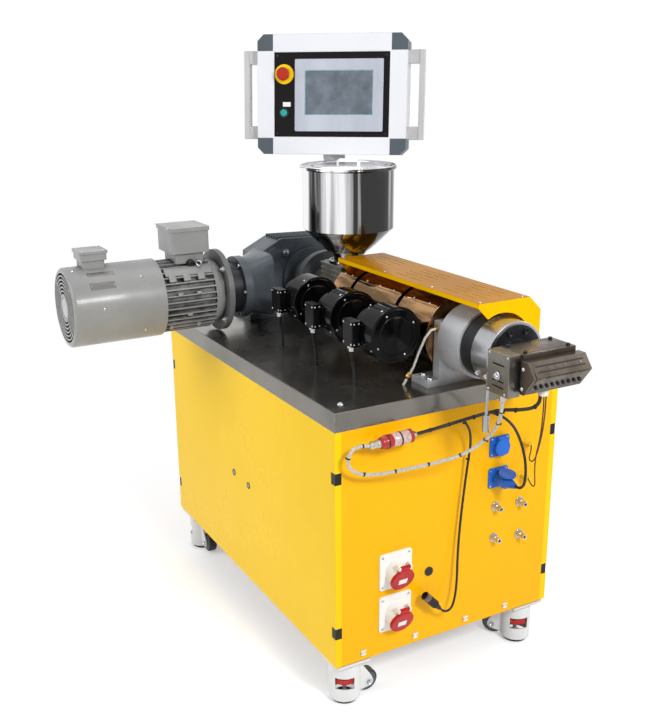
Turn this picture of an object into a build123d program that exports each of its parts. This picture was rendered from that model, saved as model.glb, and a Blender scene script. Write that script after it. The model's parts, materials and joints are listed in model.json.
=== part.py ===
from build123d import *
import os
from math import cos, radians, sin, tan

os.makedirs("parts", exist_ok=True)

# Cabinet, millimetres. Distances "ahead" run from the cabinet's front face along +X,
# distances "across" run from its operator side along +Y, and heights run from the floor.
CABINET_LENGTH = 1132.0
CABINET_WIDTH = 712.0
PANEL_BOTTOM = 140.0
PANEL_HEIGHT = 664.0
SIDE_PANEL_DEPTH = 19.0
END_PANEL_DEPTH = 16.0
PANEL_SHEET = 2.0
FRAME_TUBE = 40.0
FRAME_INSET = 19.0
FRAME_DROP = 6.0
CORNER_PLATE = 104.0
CORNER_PLATE_THICKNESS = 8.0
TABLE_LIP = 51.0
TABLE_SHEET = 3.0
PULL_LENGTH = 20.0
PULL_HEIGHT = 32.0
PULL_LOW = 101.0
PULL_HIGH = 540.0
PULL_RECESS = 1.0

# Barrel line
AXIS_ACROSS = 422.0
AXIS_ABOVE_TABLE = 123.0
GEARBOX_FACE_BACK = 917.0
LANTERN_LENGTH = 102.0
LANTERN_RADIUS = 72.0
THRUST_FLANGE_LENGTH = 25.0
THRUST_FLANGE_RADIUS = 107.0
FEED_NECK_RADIUS = 62.0
FEED_BLOCK_BACK = 715.0
FEED_BLOCK_LENGTH = 120.0
FEED_BLOCK_WIDTH = 120.0
FEED_BLOCK_TOP = 97.0
FEED_BLOCK_DROP = 70.0
BARREL_RADIUS = 45.0
BARREL_BORE = 22.5
COVER_RADIUS = 104.0
COVER_SHEET = 2.0
COVER_RIM = 1.5
COVER_SPANS = ((585.0, 490.0), (475.0, 250.0), (235.0, 76.0))
SUPPORT_WEB_BACK = 74.0
SUPPORT_WEB_LENGTH = 28.0
SUPPORT_WEB_WIDTH = 164.0
SUPPORT_WEB_TOP = 50.0
SUPPORT_RING_RADIUS = 91.0
SUPPORT_RING_LENGTH = 88.0
SUPPORT_FOOT_WIDTH = 236.0
SUPPORT_FOOT_LENGTH = 74.0
SUPPORT_FOOT_HEIGHT = 17.0
BAND_LENGTH = 45.0
BAND_RADIUS = 84.0
CLAMP_LENGTH = 67.0
CLAMP_RADIUS = 86.0
CLAMP_RIM = 8.0
ADAPTER_RADIUS = 78.0
ADAPTER_DISC = 10.0
ADAPTER_NECK = 26.0
ADAPTER_NECK_RADIUS = 42.0

# Sheet die
DIE_WIDTH = 158.0
DIE_HALF_HEIGHT = 45.0
DIE_REAR_LENGTH = 86.0
DIE_NOSE_LENGTH = 50.0
DIE_LIP = 3.0
DIE_TOP_PLATE = 12.0
DIE_BOX_LENGTH = 79.0
DIE_BOX_WIDTH = 35.0
DIE_BOX_HEIGHT = 102.0

# Motor and gearbox
MOTOR_ACROSS = 73.0
MOTOR_BACK = 867.0
MOTOR_ABOVE_TABLE = 131.0
MOTOR_FLANGE_RADIUS = 127.0
MOTOR_FLANGE_LENGTH = 16.0
MOTOR_SHIELD_LENGTH = 34.0
MOTOR_SHIELD_RADIUS = 104.0
STATOR_LENGTH = 163.0
MOTOR_JOINT = 0.3
REAR_SHIELD_LENGTH = 12.0
STATOR_RADIUS = 94.0
FIN_HEIGHT = 17.0
FIN_THICKNESS = 4.0
FIN_COUNT = 36
FAN_COVER_LENGTH = 277.0
FAN_COVER_RADIUS = 118.0
FAN_COVER_SHEET = 3.0
ADAPTER_LENGTH = 52.0
MOTOR_ADAPTER_RADIUS = 80.0
INPUT_FLANGE_LENGTH = 25.0
INPUT_FLANGE_RADIUS = 98.0

# Hopper
HOPPER_BACK = 655.0
HOPPER_RADIUS = 139.0
HOPPER_SHEET = 2.5
HOPPER_RIM_TUBE = 5.0
HOPPER_ABOVE_TABLE = 515.0
HOPPER_CYLINDER = 188.0
HOPPER_CONE = 91.0
HOPPER_NECK_RADIUS = 46.0
LID_THICKNESS = 2.5
LID_RADIUS = 132.0

# Guard over the barrel
GUARD_BACK = 587.0
GUARD_AHEAD = 99.5
GUARD_NEAR = 347.0
GUARD_TOP_WIDTH = 159.5
GUARD_CHAMFER = 36.5
GUARD_ABOVE_TABLE = 249.5
GUARD_SHEET = 2.0
GUARD_LIP = 12.0
GUARD_OPENING = 96.0

# Panel box with the screen
BOX_FACE_BACK = 803.4
BOX_FACE_ACROSS = 447.9
BOX_ABOVE_TABLE = 716.6
BOX_TURN = -39.9
BOX_TILT = 5.2
BOX_WIDTH = 472.0
BOX_HEIGHT = 364.0
BOX_DEPTH = 94.0
BOX_FRAME = 50.0
FACE_MARGIN = 54.0
BOX_CORNER_CUT = 20.0
SCREEN_WIDTH = 278.0
SCREEN_HEIGHT = 218.0
SCREEN_OFFSET = 24.0
SCREEN_DROP = -2.0
SCREEN_THICKNESS = 6.0
SCREEN_VIEW_WIDTH = 216.0
SCREEN_VIEW_HEIGHT = 136.0
PANEL_RECESS = 5.0
PANEL_PLATE = 3.0
BUTTON_X = -150.0
BUTTON_HOLE = 11.0
BUTTON_CLEARANCE = 0.5
BUTTON_WELL = 9.0
STOP_Y = 62.0
STOP_COLLAR_RADIUS = 30.0
STOP_HEAD_RADIUS = 20.0
STOP_HEAD_UP = 14.0
STOP_HEAD_HEIGHT = 14.0
START_Y = -55.0
START_COLLAR_RADIUS = 14.5
START_HEIGHT = 9.0
HANDLE_HEIGHT = 270.0
HANDLE_REACH = 50.0
HANDLE_BRACKET = 40.0
HANDLE_GRIP = 16.0
POST_RADIUS = 24.0
POST_BACK = 928.8
POST_ACROSS = 600.7
POST_ARM_DROP = 42.0
SWIVEL_BEHIND_FACE = 46.0
SWIVEL_NECK = 29.6
SWIVEL_GAP = 0.3

# Blowers
BLOWER_RADIUS = 74.0
BLOWER_LENGTH = 65.0
BLOWER_ACROSS = 226.0
BLOWER_ABOVE_TABLE = 145.0
BLOWER_FACES = (500.0, 290.0, 80.0)
BLOWER_MOTOR_RADIUS = 48.0
BLOWER_MOTOR_LENGTH = 60.0
BLOWER_BOX = (50.0, 26.0, 68.0)

# Fittings on the front panel
SOCKET_ACROSS = 181.0
SOCKETS_UP = (245.5, 120.0)
SOCKET_TILT = 20.0
SOCKET_FLANGE_WIDTH = 100.0
SOCKET_FLANGE_HEIGHT = 105.0
SOCKET_FLANGE = 5.0
SOCKET_RADIUS = 32.0
SOCKET_WALL = 5.0
SOCKET_LENGTH = 34.0
SOCKET_DEPTH = 22.0
SOCKET_EAR = 15.0
SOCKET_EAR_WIDTH = 5.0
SOCKET_LID_RADIUS = 35.0
SOCKET_LID_THICKNESS = 9.0
LID_HINGE_UP = 42.0
LID_HINGE_OUT = 36.0
LID_PIN_RADIUS = 2.5
LID_PIN_GAP = 0.1
SUPPLY_ACROSS = 512.5
SUPPLY_UP = (529.0, 437.0)
SUPPLY_WIDTH = 65.0
SUPPLY_HEIGHT = 58.0
SUPPLY_FLANGE = 4.0
SUPPLY_RADIUS = 22.0
SUPPLY_LENGTH = 14.0
SUPPLY_LID_THICKNESS = 5.0
SUPPLY_HINGE_UP = 28.0
SUPPLY_HINGE_AHEAD = 14.0
HOSE_COUPLINGS = ((509.0, 349.0), (595.0, 344.0), (508.0, 254.0), (598.0, 243.0))
HOSE_BORE = 4.0
PLUG_RADIUS = 21.0
PLUG_BODY = 40.0
PLUG_REACH = 76.0
PLUG_TAIL_RADIUS = 7.0
PLUG_LID_DROOP = 9.0
JACK_REACH = 30.0
JACKS = ((601.0, 521.0), (597.0, 423.0))
HOLE_PLUG = (290.0, 208.0)

# Cords and what they hang from, as points (ahead, across, height)
DIE_SLEEVE = (270.0, 414.0, 912.0)
DIE_SLEEVE_RADIUS = 12.0
BOX_GLAND = (229.5, 325.5, 900.0)
BOX_GLAND_RADIUS = 8.0
PROBE_FOOT = (146.0, 346.0, 791.0)
PROBE_BODY = 44.0
PROBE_RADIUS = 9.0
PROBE_STEM_RADIUS = 4.0
CONNECTOR_RADIUS = 18.0
CONNECTOR_NECK_RADIUS = 11.0
HANGING_PLUG_RADIUS = 12.0
DIE_CABLE_DIAMETER = 9.0
DIE_CABLE = [
    (266, 409, 912), (266, 409, 899), (261, 407, 886.5), (251, 403, 876), (231, 395, 867),
    (200, 390, 857), (160, 386, 845), (112, 378, 824), (74, 360, 803), (50, 331, 788),
    (41, 290, 780), (40.5, 251, 777), (40, 212, 775),
]
CONNECTOR = [(40, 212, 775), (38.3, 105, 770), (37.5, 76, 769)]
BOX_CABLE_DIAMETER = 9.0
BOX_CABLE = [
    (37.5, 76, 769), (36, 58, 773), (34, 38, 771), (33, 23, 758), (33, 17, 739),
    (34, 22, 720), (36, 37, 706), (40, 61, 697), (46, 99, 692), (54, 149, 693),
    (64, 205, 697), (78, 262, 703), (98, 315, 718), (125, 350, 750), (165, 359, 797),
    (203, 343, 843), (222, 329, 866), (229, 325.5, 884), (229.5, 325.5, 900),
]
HANGING_CABLE_DIAMETER = 6.5
HANGING_CABLE = [
    (55.5, 345.5, 792), (50, 364, 774), (38, 384, 746), (26, 396, 703), (20, 394, 653),
    (18, 387, 581), (18, 378, 490), (21, 370, 395), (26, 367, 325), (31, 361, 279),
    (35, 349, 242), (37, 334.5, 232.5), (37, 317, 234.5), (37, 305.5, 247.5),
]
HANGING_PLUG = [(37, 305.5, 247.5), (36, 292, 262), (33, 255, 301)]
SUPPLY_CABLE_DIAMETER = 7.5
SUPPLY_CABLE = [
    (123.6, 385.5, 826), (122, 410, 815), (119, 441, 793), (114, 470, 763), (108, 496, 720),
    (107, 512, 676), (111, 515, 637), (112.5, 513, 604), (105, 512.5, 587), (91, 512.5, 577.5),
    (76, 512.5, 577),
]
LEAD_DIAMETER = 3.5
UPPER_LEAD = [
    (275, 419, 912), (274, 420, 890), (268, 425, 860), (255, 434, 822), (234, 449, 782),
    (207, 466, 741), (180, 484, 705), (150, 502, 679), (116, 522, 664), (82, 549, 656),
    (53, 581, 657), (30, 601, 661),
]
LOWER_LEAD = [
    (275, 412, 912), (275, 413, 888), (270, 417, 858), (258, 426, 818), (237, 441, 776),
    (209, 459, 731), (184, 479, 690), (163, 499, 648), (141, 522, 611), (112, 547, 584), (80, 569, 567),
    (51, 586, 560), (30, 597, 563),
]
BLOWER_LEAD_DIAMETER = 8.0
BLOWER_LEAD = [(0, 0), (1, 24), (7, 50), (9, 74), (8, 95)]

# Levelling casters: the trail is the way each one has swung round, in degrees from +X
CASTER_INSET_X = 56.0
CASTER_INSET_Y = 58.0
CASTER_TRAILS = (
    ("front_left", 1, -1, 90.0), ("front_right", 1, 1, -142.0),
    ("rear_left", -1, -1, 0.0), ("rear_right", -1, 1, -60.0),
)
CASTER_PLATE = 96.0
CASTER_PLATE_THICKNESS = 4.0
PAD_RADIUS = 36.0
PAD_HEIGHT = 9.0
STEM_RADIUS = 6.0
THUMBWHEEL_RADIUS = 38.0
THUMBWHEEL_HEIGHT = 16.0
THUMBWHEEL_BOTTOM = 60.0
HOUSING_RADIUS = 44.0
HOUSING_WALL = 4.0
HOUSING_BOTTOM = 12.0
HOUSING_ROOF = 8.0
SWIVEL_BEARING = 2.0
WINDOW_WIDTH = 52.0
WINDOW_BOTTOM = 49.0
WINDOW_HEIGHT = 34.0
WINDOW_TURN = 118.0
WHEEL_RADIUS = 31.5
WHEEL_WIDTH = 28.0
WHEEL_OFFSET = 66.0
WHEEL_LIFT = 5.0
WHEEL_GAP = 5.0
CHEEK_RADIUS = 14.0
AXLE_RADIUS = 4.0

# Reaches that fix the origin below the middle of the whole machine
RING_FRONT = SUPPORT_WEB_LENGTH - SUPPORT_WEB_BACK + SUPPORT_RING_LENGTH
CLAMP_FRONT = RING_FRONT + BAND_LENGTH + CLAMP_LENGTH
DIE_BACK = CLAMP_FRONT + ADAPTER_DISC + ADAPTER_NECK
DIE_REACH = DIE_BACK + DIE_REAR_LENGTH + DIE_NOSE_LENGTH
MOTOR_REACH = (
    MOTOR_FLANGE_LENGTH + MOTOR_SHIELD_LENGTH + STATOR_LENGTH + FAN_COVER_LENGTH - MOTOR_ACROSS
)
FRONT_X = (CABINET_LENGTH - DIE_REACH) / 2
SIDE_Y = (MOTOR_REACH - CABINET_WIDTH) / 2
TABLE_TOP = PANEL_BOTTOM + PANEL_HEIGHT + TABLE_LIP
FRAME_BOTTOM = PANEL_BOTTOM - FRAME_DROP
CASTER_TOP = FRAME_BOTTOM - CORNER_PLATE_THICKNESS
HOPPER_TOP = TABLE_TOP + HOPPER_ABOVE_TABLE
GUARD_TOP = TABLE_TOP + GUARD_ABOVE_TABLE
BOX_HEIGHT_CENTRE = TABLE_TOP + BOX_ABOVE_TABLE
SWIVEL_HEIGHT = BOX_HEIGHT_CENTRE - BOX_HEIGHT / 2 - SWIVEL_NECK
POST_ARM_HEIGHT = SWIVEL_HEIGHT - POST_ARM_DROP
SWIVEL_BACK = BOX_FACE_BACK + SWIVEL_BEHIND_FACE * cos(radians(BOX_TURN))
SWIVEL_ACROSS = BOX_FACE_ACROSS - SWIVEL_BEHIND_FACE * sin(radians(BOX_TURN))
FACE_WIDTH = BOX_WIDTH - 2 * FACE_MARGIN
FACE_HEIGHT = BOX_HEIGHT - 2 * FACE_MARGIN
SOCKET_HEIGHTS = [PANEL_BOTTOM + up for up in SOCKETS_UP]
SUPPLY_HEIGHTS = [PANEL_BOTTOM + up for up in SUPPLY_UP]
AXIS_Y = SIDE_Y + AXIS_ACROSS
AXIS_Z = TABLE_TOP + AXIS_ABOVE_TABLE


def save(piece, name):
    """Labels a finished sub-part and writes its STEP file."""
    piece.part.label = name
    export_step(piece.part, f"parts/{name}.step")


def facing_front(ahead, across, height):
    """Plane looking along +X: its x runs across, its y runs up."""
    return Plane(origin=(FRONT_X + ahead, SIDE_Y + across, height), x_dir=(0, 1, 0), z_dir=(1, 0, 0))


def facing_operator(ahead, across, height):
    """Plane looking along -Y: its x runs ahead, its y runs up."""
    return Plane(origin=(FRONT_X + ahead, SIDE_Y + across, height), x_dir=(1, 0, 0), z_dir=(0, -1, 0))


def facing_up(ahead, across, height):
    """Plane looking along +Z at a place on the machine."""
    return Plane(origin=(FRONT_X + ahead, SIDE_Y + across, height), x_dir=(1, 0, 0), z_dir=(0, 0, 1))


def spot(ahead, across, height):
    """Point on the machine from its distances ahead, across and above the floor."""
    return Vector(FRONT_X + ahead, SIDE_Y + across, height)


# Welded frame: floor ring, four posts and a top ring under the table
post_x = CABINET_LENGTH / 2 - FRAME_INSET - FRAME_TUBE / 2
post_y = CABINET_WIDTH / 2 - FRAME_INSET - FRAME_TUBE / 2
frame_top = TABLE_TOP - TABLE_SHEET
with BuildPart() as frame:
    for ring_bottom in (FRAME_BOTTOM, frame_top - FRAME_TUBE):
        with BuildSketch(facing_up(-CABINET_LENGTH / 2, CABINET_WIDTH / 2, ring_bottom)):
            Rectangle(2 * post_x + FRAME_TUBE, 2 * post_y + FRAME_TUBE)
            Rectangle(2 * post_x - FRAME_TUBE, 2 * post_y - FRAME_TUBE, mode=Mode.SUBTRACT)
        extrude(amount=FRAME_TUBE)
    with BuildSketch(facing_up(-CABINET_LENGTH / 2, CABINET_WIDTH / 2, FRAME_BOTTOM)):
        with GridLocations(2 * post_x, 2 * post_y, 2, 2):
            Rectangle(FRAME_TUBE, FRAME_TUBE)
    extrude(amount=frame_top - FRAME_BOTTOM)
    with BuildSketch(facing_up(-CABINET_LENGTH / 2, CABINET_WIDTH / 2, CASTER_TOP)):
        with GridLocations(CABINET_LENGTH - 2 * CASTER_INSET_X, CABINET_WIDTH - 2 * CASTER_INSET_Y, 2, 2):
            Rectangle(CORNER_PLATE, CORNER_PLATE)
    extrude(amount=CORNER_PLATE_THICKNESS)
save(frame, "frame")


def pull_heights():
    """Heights of the lower edges of the black finger pulls."""
    return (PANEL_BOTTOM + PULL_LOW - PULL_HEIGHT / 2, PANEL_BOTTOM + PULL_HIGH - PULL_HEIGHT / 2)


def pull_sketches(across):
    """Cuts or fills the four finger pulls of one side panel."""
    for pull_bottom in pull_heights():
        for ahead in (-PULL_LENGTH / 2, PULL_LENGTH / 2 - CABINET_LENGTH):
            yield facing_up(ahead, across, pull_bottom)


# Side panels: folded pans that open inwards and wrap the cabinet's corners
for name, across, inward in (("left_side_panel", 0.0, 1), ("right_side_panel", CABINET_WIDTH, -1)):
    centre_across = across + inward * SIDE_PANEL_DEPTH / 2
    with BuildPart() as side_panel:
        with BuildSketch(facing_up(-CABINET_LENGTH / 2, centre_across, PANEL_BOTTOM)):
            Rectangle(CABINET_LENGTH, SIDE_PANEL_DEPTH)
        extrude(amount=PANEL_HEIGHT)
        inner_across = centre_across + inward * PANEL_SHEET
        with BuildSketch(facing_up(-CABINET_LENGTH / 2, inner_across, PANEL_BOTTOM + PANEL_SHEET)):
            Rectangle(CABINET_LENGTH - 2 * PULL_LENGTH - 2 * PANEL_SHEET, SIDE_PANEL_DEPTH)
        extrude(amount=PANEL_HEIGHT - 2 * PANEL_SHEET, mode=Mode.SUBTRACT)
        for plane in pull_sketches(centre_across):
            with BuildSketch(plane):
                Rectangle(PULL_LENGTH, SIDE_PANEL_DEPTH)
            extrude(amount=PULL_HEIGHT, mode=Mode.SUBTRACT)
    save(side_panel, name)

with BuildPart() as panel_pulls:
    for across, inward in ((0.0, 1), (CABINET_WIDTH, -1)):
        centre_across = across + inward * (SIDE_PANEL_DEPTH + PULL_RECESS) / 2
        for pull_bottom in pull_heights():
            for ahead, way in ((0.0, -1), (-CABINET_LENGTH, 1)):
                centre_ahead = ahead + way * (PULL_LENGTH + PULL_RECESS) / 2
                with BuildSketch(facing_up(centre_ahead, centre_across, pull_bottom)):
                    Rectangle(PULL_LENGTH - PULL_RECESS, SIDE_PANEL_DEPTH - PULL_RECESS)
                extrude(amount=PULL_HEIGHT)
save(panel_pulls, "panel_pulls")

# End panels: pans between the side panels
end_width = CABINET_WIDTH - 2 * SIDE_PANEL_DEPTH
for name, ahead, way in (("front_panel", 0.0, -1), ("rear_panel", -CABINET_LENGTH, 1)):
    centre_ahead = ahead + way * END_PANEL_DEPTH / 2
    with BuildPart() as end_panel:
        with BuildSketch(facing_up(centre_ahead, CABINET_WIDTH / 2, PANEL_BOTTOM)):
            Rectangle(END_PANEL_DEPTH, end_width)
        extrude(amount=PANEL_HEIGHT)
        inner_ahead = centre_ahead + way * PANEL_SHEET
        with BuildSketch(facing_up(inner_ahead, CABINET_WIDTH / 2, PANEL_BOTTOM + PANEL_SHEET)):
            Rectangle(END_PANEL_DEPTH, end_width - 2 * PANEL_SHEET)
        extrude(amount=PANEL_HEIGHT - 2 * PANEL_SHEET, mode=Mode.SUBTRACT)
    save(end_panel, name)

# Table: a folded stainless tray turned upside down over the frame
with BuildPart() as table_top:
    with BuildSketch(facing_up(-CABINET_LENGTH / 2, CABINET_WIDTH / 2, TABLE_TOP - TABLE_LIP)):
        Rectangle(CABINET_LENGTH, CABINET_WIDTH)
    extrude(amount=TABLE_LIP)
    fillet(table_top.faces().sort_by(Axis.Z)[-1].edges(), radius=2)
    with BuildSketch(facing_up(-CABINET_LENGTH / 2, CABINET_WIDTH / 2, TABLE_TOP - TABLE_LIP)):
        Rectangle(CABINET_LENGTH - 2 * TABLE_SHEET, CABINET_WIDTH - 2 * TABLE_SHEET)
    extrude(amount=TABLE_LIP - TABLE_SHEET, mode=Mode.SUBTRACT)
save(table_top, "table_top")

# Levelling casters: a pad on a threaded stem with a thumbwheel, and a hood that swivels round it
caster_places = [
    (corner, -CABINET_LENGTH / 2 + sx * (CABINET_LENGTH / 2 - CASTER_INSET_X),
     CABINET_WIDTH / 2 + sy * (CABINET_WIDTH / 2 - CASTER_INSET_Y), trail)
    for corner, sx, sy, trail in CASTER_TRAILS
]
plate_bottom = CASTER_TOP - CASTER_PLATE_THICKNESS
with BuildPart() as levelling_feet:
    for corner, ahead, across, trail in caster_places:
        with BuildSketch(facing_up(ahead, across, 0)):
            Circle(PAD_RADIUS)
        extrude(amount=PAD_HEIGHT - 3)
        with BuildSketch(facing_up(ahead, across, PAD_HEIGHT - 3)):
            Circle(PAD_RADIUS - 6)
        extrude(amount=3)
        with BuildSketch(facing_up(ahead, across, PAD_HEIGHT)):
            Circle(STEM_RADIUS)
        extrude(amount=plate_bottom - PAD_HEIGHT)
        with BuildSketch(facing_up(ahead, across, THUMBWHEEL_BOTTOM)):
            Circle(THUMBWHEEL_RADIUS)
            with PolarLocations(THUMBWHEEL_RADIUS, 18):
                Circle(2.5, mode=Mode.SUBTRACT)
        extrude(amount=THUMBWHEEL_HEIGHT)
        with BuildSketch(facing_up(ahead, across, plate_bottom)):
            RectangleRounded(CASTER_PLATE, CASTER_PLATE, 6)
        extrude(amount=CASTER_PLATE_THICKNESS)
save(levelling_feet, "levelling_feet")

housing_top = plate_bottom - SWIVEL_BEARING
axle_z = WHEEL_RADIUS + WHEEL_LIFT
cheek_gap = WHEEL_WIDTH / 2 + 3
for corner, ahead, across, trail in caster_places:
    pivot = Vector(FRONT_X + ahead, SIDE_Y + across, 0)
    back = Vector(cos(radians(trail)), sin(radians(trail)), 0)
    side = Vector(-back.Y, back.X, 0)
    level = Plane(origin=pivot, x_dir=back, z_dir=(0, 0, 1))

    def across_wheel(offset, up, sideways):
        """Plane square to the wheel's axle: its x runs along the trail, its y runs up."""
        origin = pivot + back * offset + side * sideways + Vector(0, 0, up)
        return Plane(origin=origin, x_dir=back, z_dir=side * -1)

    with BuildPart() as housing:
        with BuildSketch(level.offset(HOUSING_BOTTOM)):
            Circle(HOUSING_RADIUS)
        extrude(amount=housing_top - HOUSING_BOTTOM)
        fillet(housing.faces().sort_by(Axis.Z)[-1].edges(), radius=8)
        with BuildSketch(across_wheel(0, axle_z, cheek_gap + HOUSING_WALL)):
            with BuildLine():
                Polyline(
                    (20, HOUSING_BOTTOM - axle_z + 4), (WHEEL_OFFSET, -CHEEK_RADIUS),
                    (WHEEL_OFFSET + CHEEK_RADIUS, 0), (WHEEL_OFFSET + CHEEK_RADIUS - 4, CHEEK_RADIUS),
                    (HOUSING_RADIUS - 4, housing_top - axle_z - 14),
                    (20, housing_top - axle_z - 14), close=True,
                )
            make_face()
            with Locations((WHEEL_OFFSET, 0)):
                Circle(CHEEK_RADIUS)
        extrude(amount=2 * (cheek_gap + HOUSING_WALL))
        with BuildSketch(level.offset(HOUSING_BOTTOM)):
            Circle(HOUSING_RADIUS - HOUSING_WALL)
        extrude(amount=housing_top - HOUSING_ROOF - HOUSING_BOTTOM, mode=Mode.SUBTRACT)
        with BuildSketch(level.offset(HOUSING_BOTTOM)):
            Circle(STEM_RADIUS + 1)
        extrude(amount=housing_top - HOUSING_BOTTOM, mode=Mode.SUBTRACT)
        with BuildSketch(across_wheel(WHEEL_OFFSET, axle_z, cheek_gap)):
            Circle(WHEEL_RADIUS + WHEEL_GAP)
            with Locations((0, -axle_z)):
                Rectangle(2 * (WHEEL_RADIUS + WHEEL_GAP), 2 * axle_z)
        extrude(amount=2 * cheek_gap, mode=Mode.SUBTRACT)
        for way in (-1, 1):
            turn = radians(trail + way * WINDOW_TURN)
            look = Vector(cos(turn), sin(turn), 0)
            window = Plane(
                origin=pivot + look * 20 + Vector(0, 0, WINDOW_BOTTOM + WINDOW_HEIGHT / 2),
                x_dir=(-look.Y, look.X, 0), z_dir=look,
            )
            with BuildSketch(window):
                Rectangle(WINDOW_WIDTH, WINDOW_HEIGHT)
            extrude(amount=HOUSING_RADIUS, mode=Mode.SUBTRACT)
    save(housing, f"caster_housing_{corner}")
    with BuildPart() as wheel:
        with BuildSketch(across_wheel(WHEEL_OFFSET, axle_z, WHEEL_WIDTH / 2)):
            Circle(WHEEL_RADIUS)
        extrude(amount=WHEEL_WIDTH)
        chamfer(wheel.edges().filter_by(GeomType.CIRCLE), length=3)
        with BuildSketch(across_wheel(WHEEL_OFFSET, axle_z, cheek_gap - 0.5)):
            Circle(AXLE_RADIUS)
        extrude(amount=2 * cheek_gap - 1)
    save(wheel, f"caster_wheel_{corner}")

# Motor, from its flange outwards to the fan cover
motor_z = TABLE_TOP + MOTOR_ABOVE_TABLE
shield_across = MOTOR_ACROSS - MOTOR_FLANGE_LENGTH
stator_across = shield_across - MOTOR_SHIELD_LENGTH
fan_across = stator_across - STATOR_LENGTH
with BuildPart() as motor_housing:
    with BuildSketch(facing_operator(-MOTOR_BACK, MOTOR_ACROSS, motor_z)):
        Circle(MOTOR_FLANGE_RADIUS)
        with PolarLocations(MOTOR_FLANGE_RADIUS - 16, 4, start_angle=45):
            Circle(7, mode=Mode.SUBTRACT)
    extrude(amount=MOTOR_FLANGE_LENGTH)
    with BuildSketch(facing_operator(-MOTOR_BACK, shield_across, motor_z)):
        Circle(MOTOR_SHIELD_RADIUS - 12)
    with BuildSketch(facing_operator(-MOTOR_BACK, stator_across, motor_z)):
        Circle(MOTOR_SHIELD_RADIUS)
    loft()
    with BuildSketch(facing_operator(-MOTOR_BACK, stator_across - MOTOR_JOINT, motor_z)):
        Circle(STATOR_RADIUS)
        with PolarLocations(STATOR_RADIUS + FIN_HEIGHT / 2 - 1, FIN_COUNT):
            Rectangle(FIN_HEIGHT + 2, FIN_THICKNESS)
    extrude(amount=STATOR_LENGTH - MOTOR_JOINT)
    with BuildSketch(facing_operator(-MOTOR_BACK, fan_across, motor_z)):
        Circle(FAN_COVER_RADIUS - FAN_COVER_SHEET)
    extrude(amount=REAR_SHIELD_LENGTH)
save(motor_housing, "motor_housing")

with BuildPart() as motor_fan_cover:
    with BuildSketch(facing_operator(-MOTOR_BACK, fan_across, motor_z)):
        Circle(FAN_COVER_RADIUS)
    extrude(amount=FAN_COVER_LENGTH)
    fillet(motor_fan_cover.faces().sort_by(Axis.Y)[0].edges(), radius=10)
    with BuildSketch(facing_operator(-MOTOR_BACK, fan_across, motor_z)):
        Circle(FAN_COVER_RADIUS - FAN_COVER_SHEET)
    extrude(amount=FAN_COVER_LENGTH - FAN_COVER_SHEET, mode=Mode.SUBTRACT)
    with BuildSketch(facing_operator(-MOTOR_BACK, fan_across - FAN_COVER_LENGTH + FAN_COVER_SHEET, motor_z)):
        for slot in range(5):
            slot_radius = 42 + 11 * slot
            Circle(slot_radius + 6)
            Circle(slot_radius, mode=Mode.SUBTRACT)
        with PolarLocations(0, 4, start_angle=45):
            with Locations((FAN_COVER_RADIUS / 2, 0)):
                Rectangle(FAN_COVER_RADIUS, 5, mode=Mode.SUBTRACT)
    extrude(amount=FAN_COVER_SHEET, mode=Mode.SUBTRACT)
save(motor_fan_cover, "motor_fan_cover")

# Terminal boxes: one on the stator with the motor's leads, one on the drum with the fan's
terminal_boxes = (
    (stator_across - 62, STATOR_RADIUS + FIN_HEIGHT - 8, 96, 32, 124, 66, 12),
    (fan_across - 190, FAN_COVER_RADIUS - 10, 70, 30, 82, 20, 8),
)
with BuildPart() as motor_terminal_boxes:
    for across, above, neck, neck_height, body, body_height, lid_height in terminal_boxes:
        for width, bottom, height in (
            (neck, above, neck_height),
            (body, above + neck_height, body_height),
            (body + 6, above + neck_height + body_height, lid_height),
        ):
            with BuildSketch(facing_up(-MOTOR_BACK, across, motor_z + bottom)):
                RectangleRounded(width, width - 4, 6)
            extrude(amount=height)
    with BuildSketch(facing_operator(-MOTOR_BACK, stator_across, motor_z)):
        Circle(STATOR_RADIUS + FIN_HEIGHT + 0.2)
    extrude(amount=STATOR_LENGTH, mode=Mode.SUBTRACT)
    with BuildSketch(facing_operator(-MOTOR_BACK, fan_across, motor_z)):
        Circle(FAN_COVER_RADIUS)
    extrude(amount=FAN_COVER_LENGTH, mode=Mode.SUBTRACT)
save(motor_terminal_boxes, "motor_terminal_boxes")

with BuildPart() as motor_adapter:
    with BuildSketch(facing_operator(-MOTOR_BACK, MOTOR_ACROSS + ADAPTER_LENGTH, motor_z)):
        Circle(MOTOR_ADAPTER_RADIUS)
    extrude(amount=ADAPTER_LENGTH)
save(motor_adapter, "motor_adapter")

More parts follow.
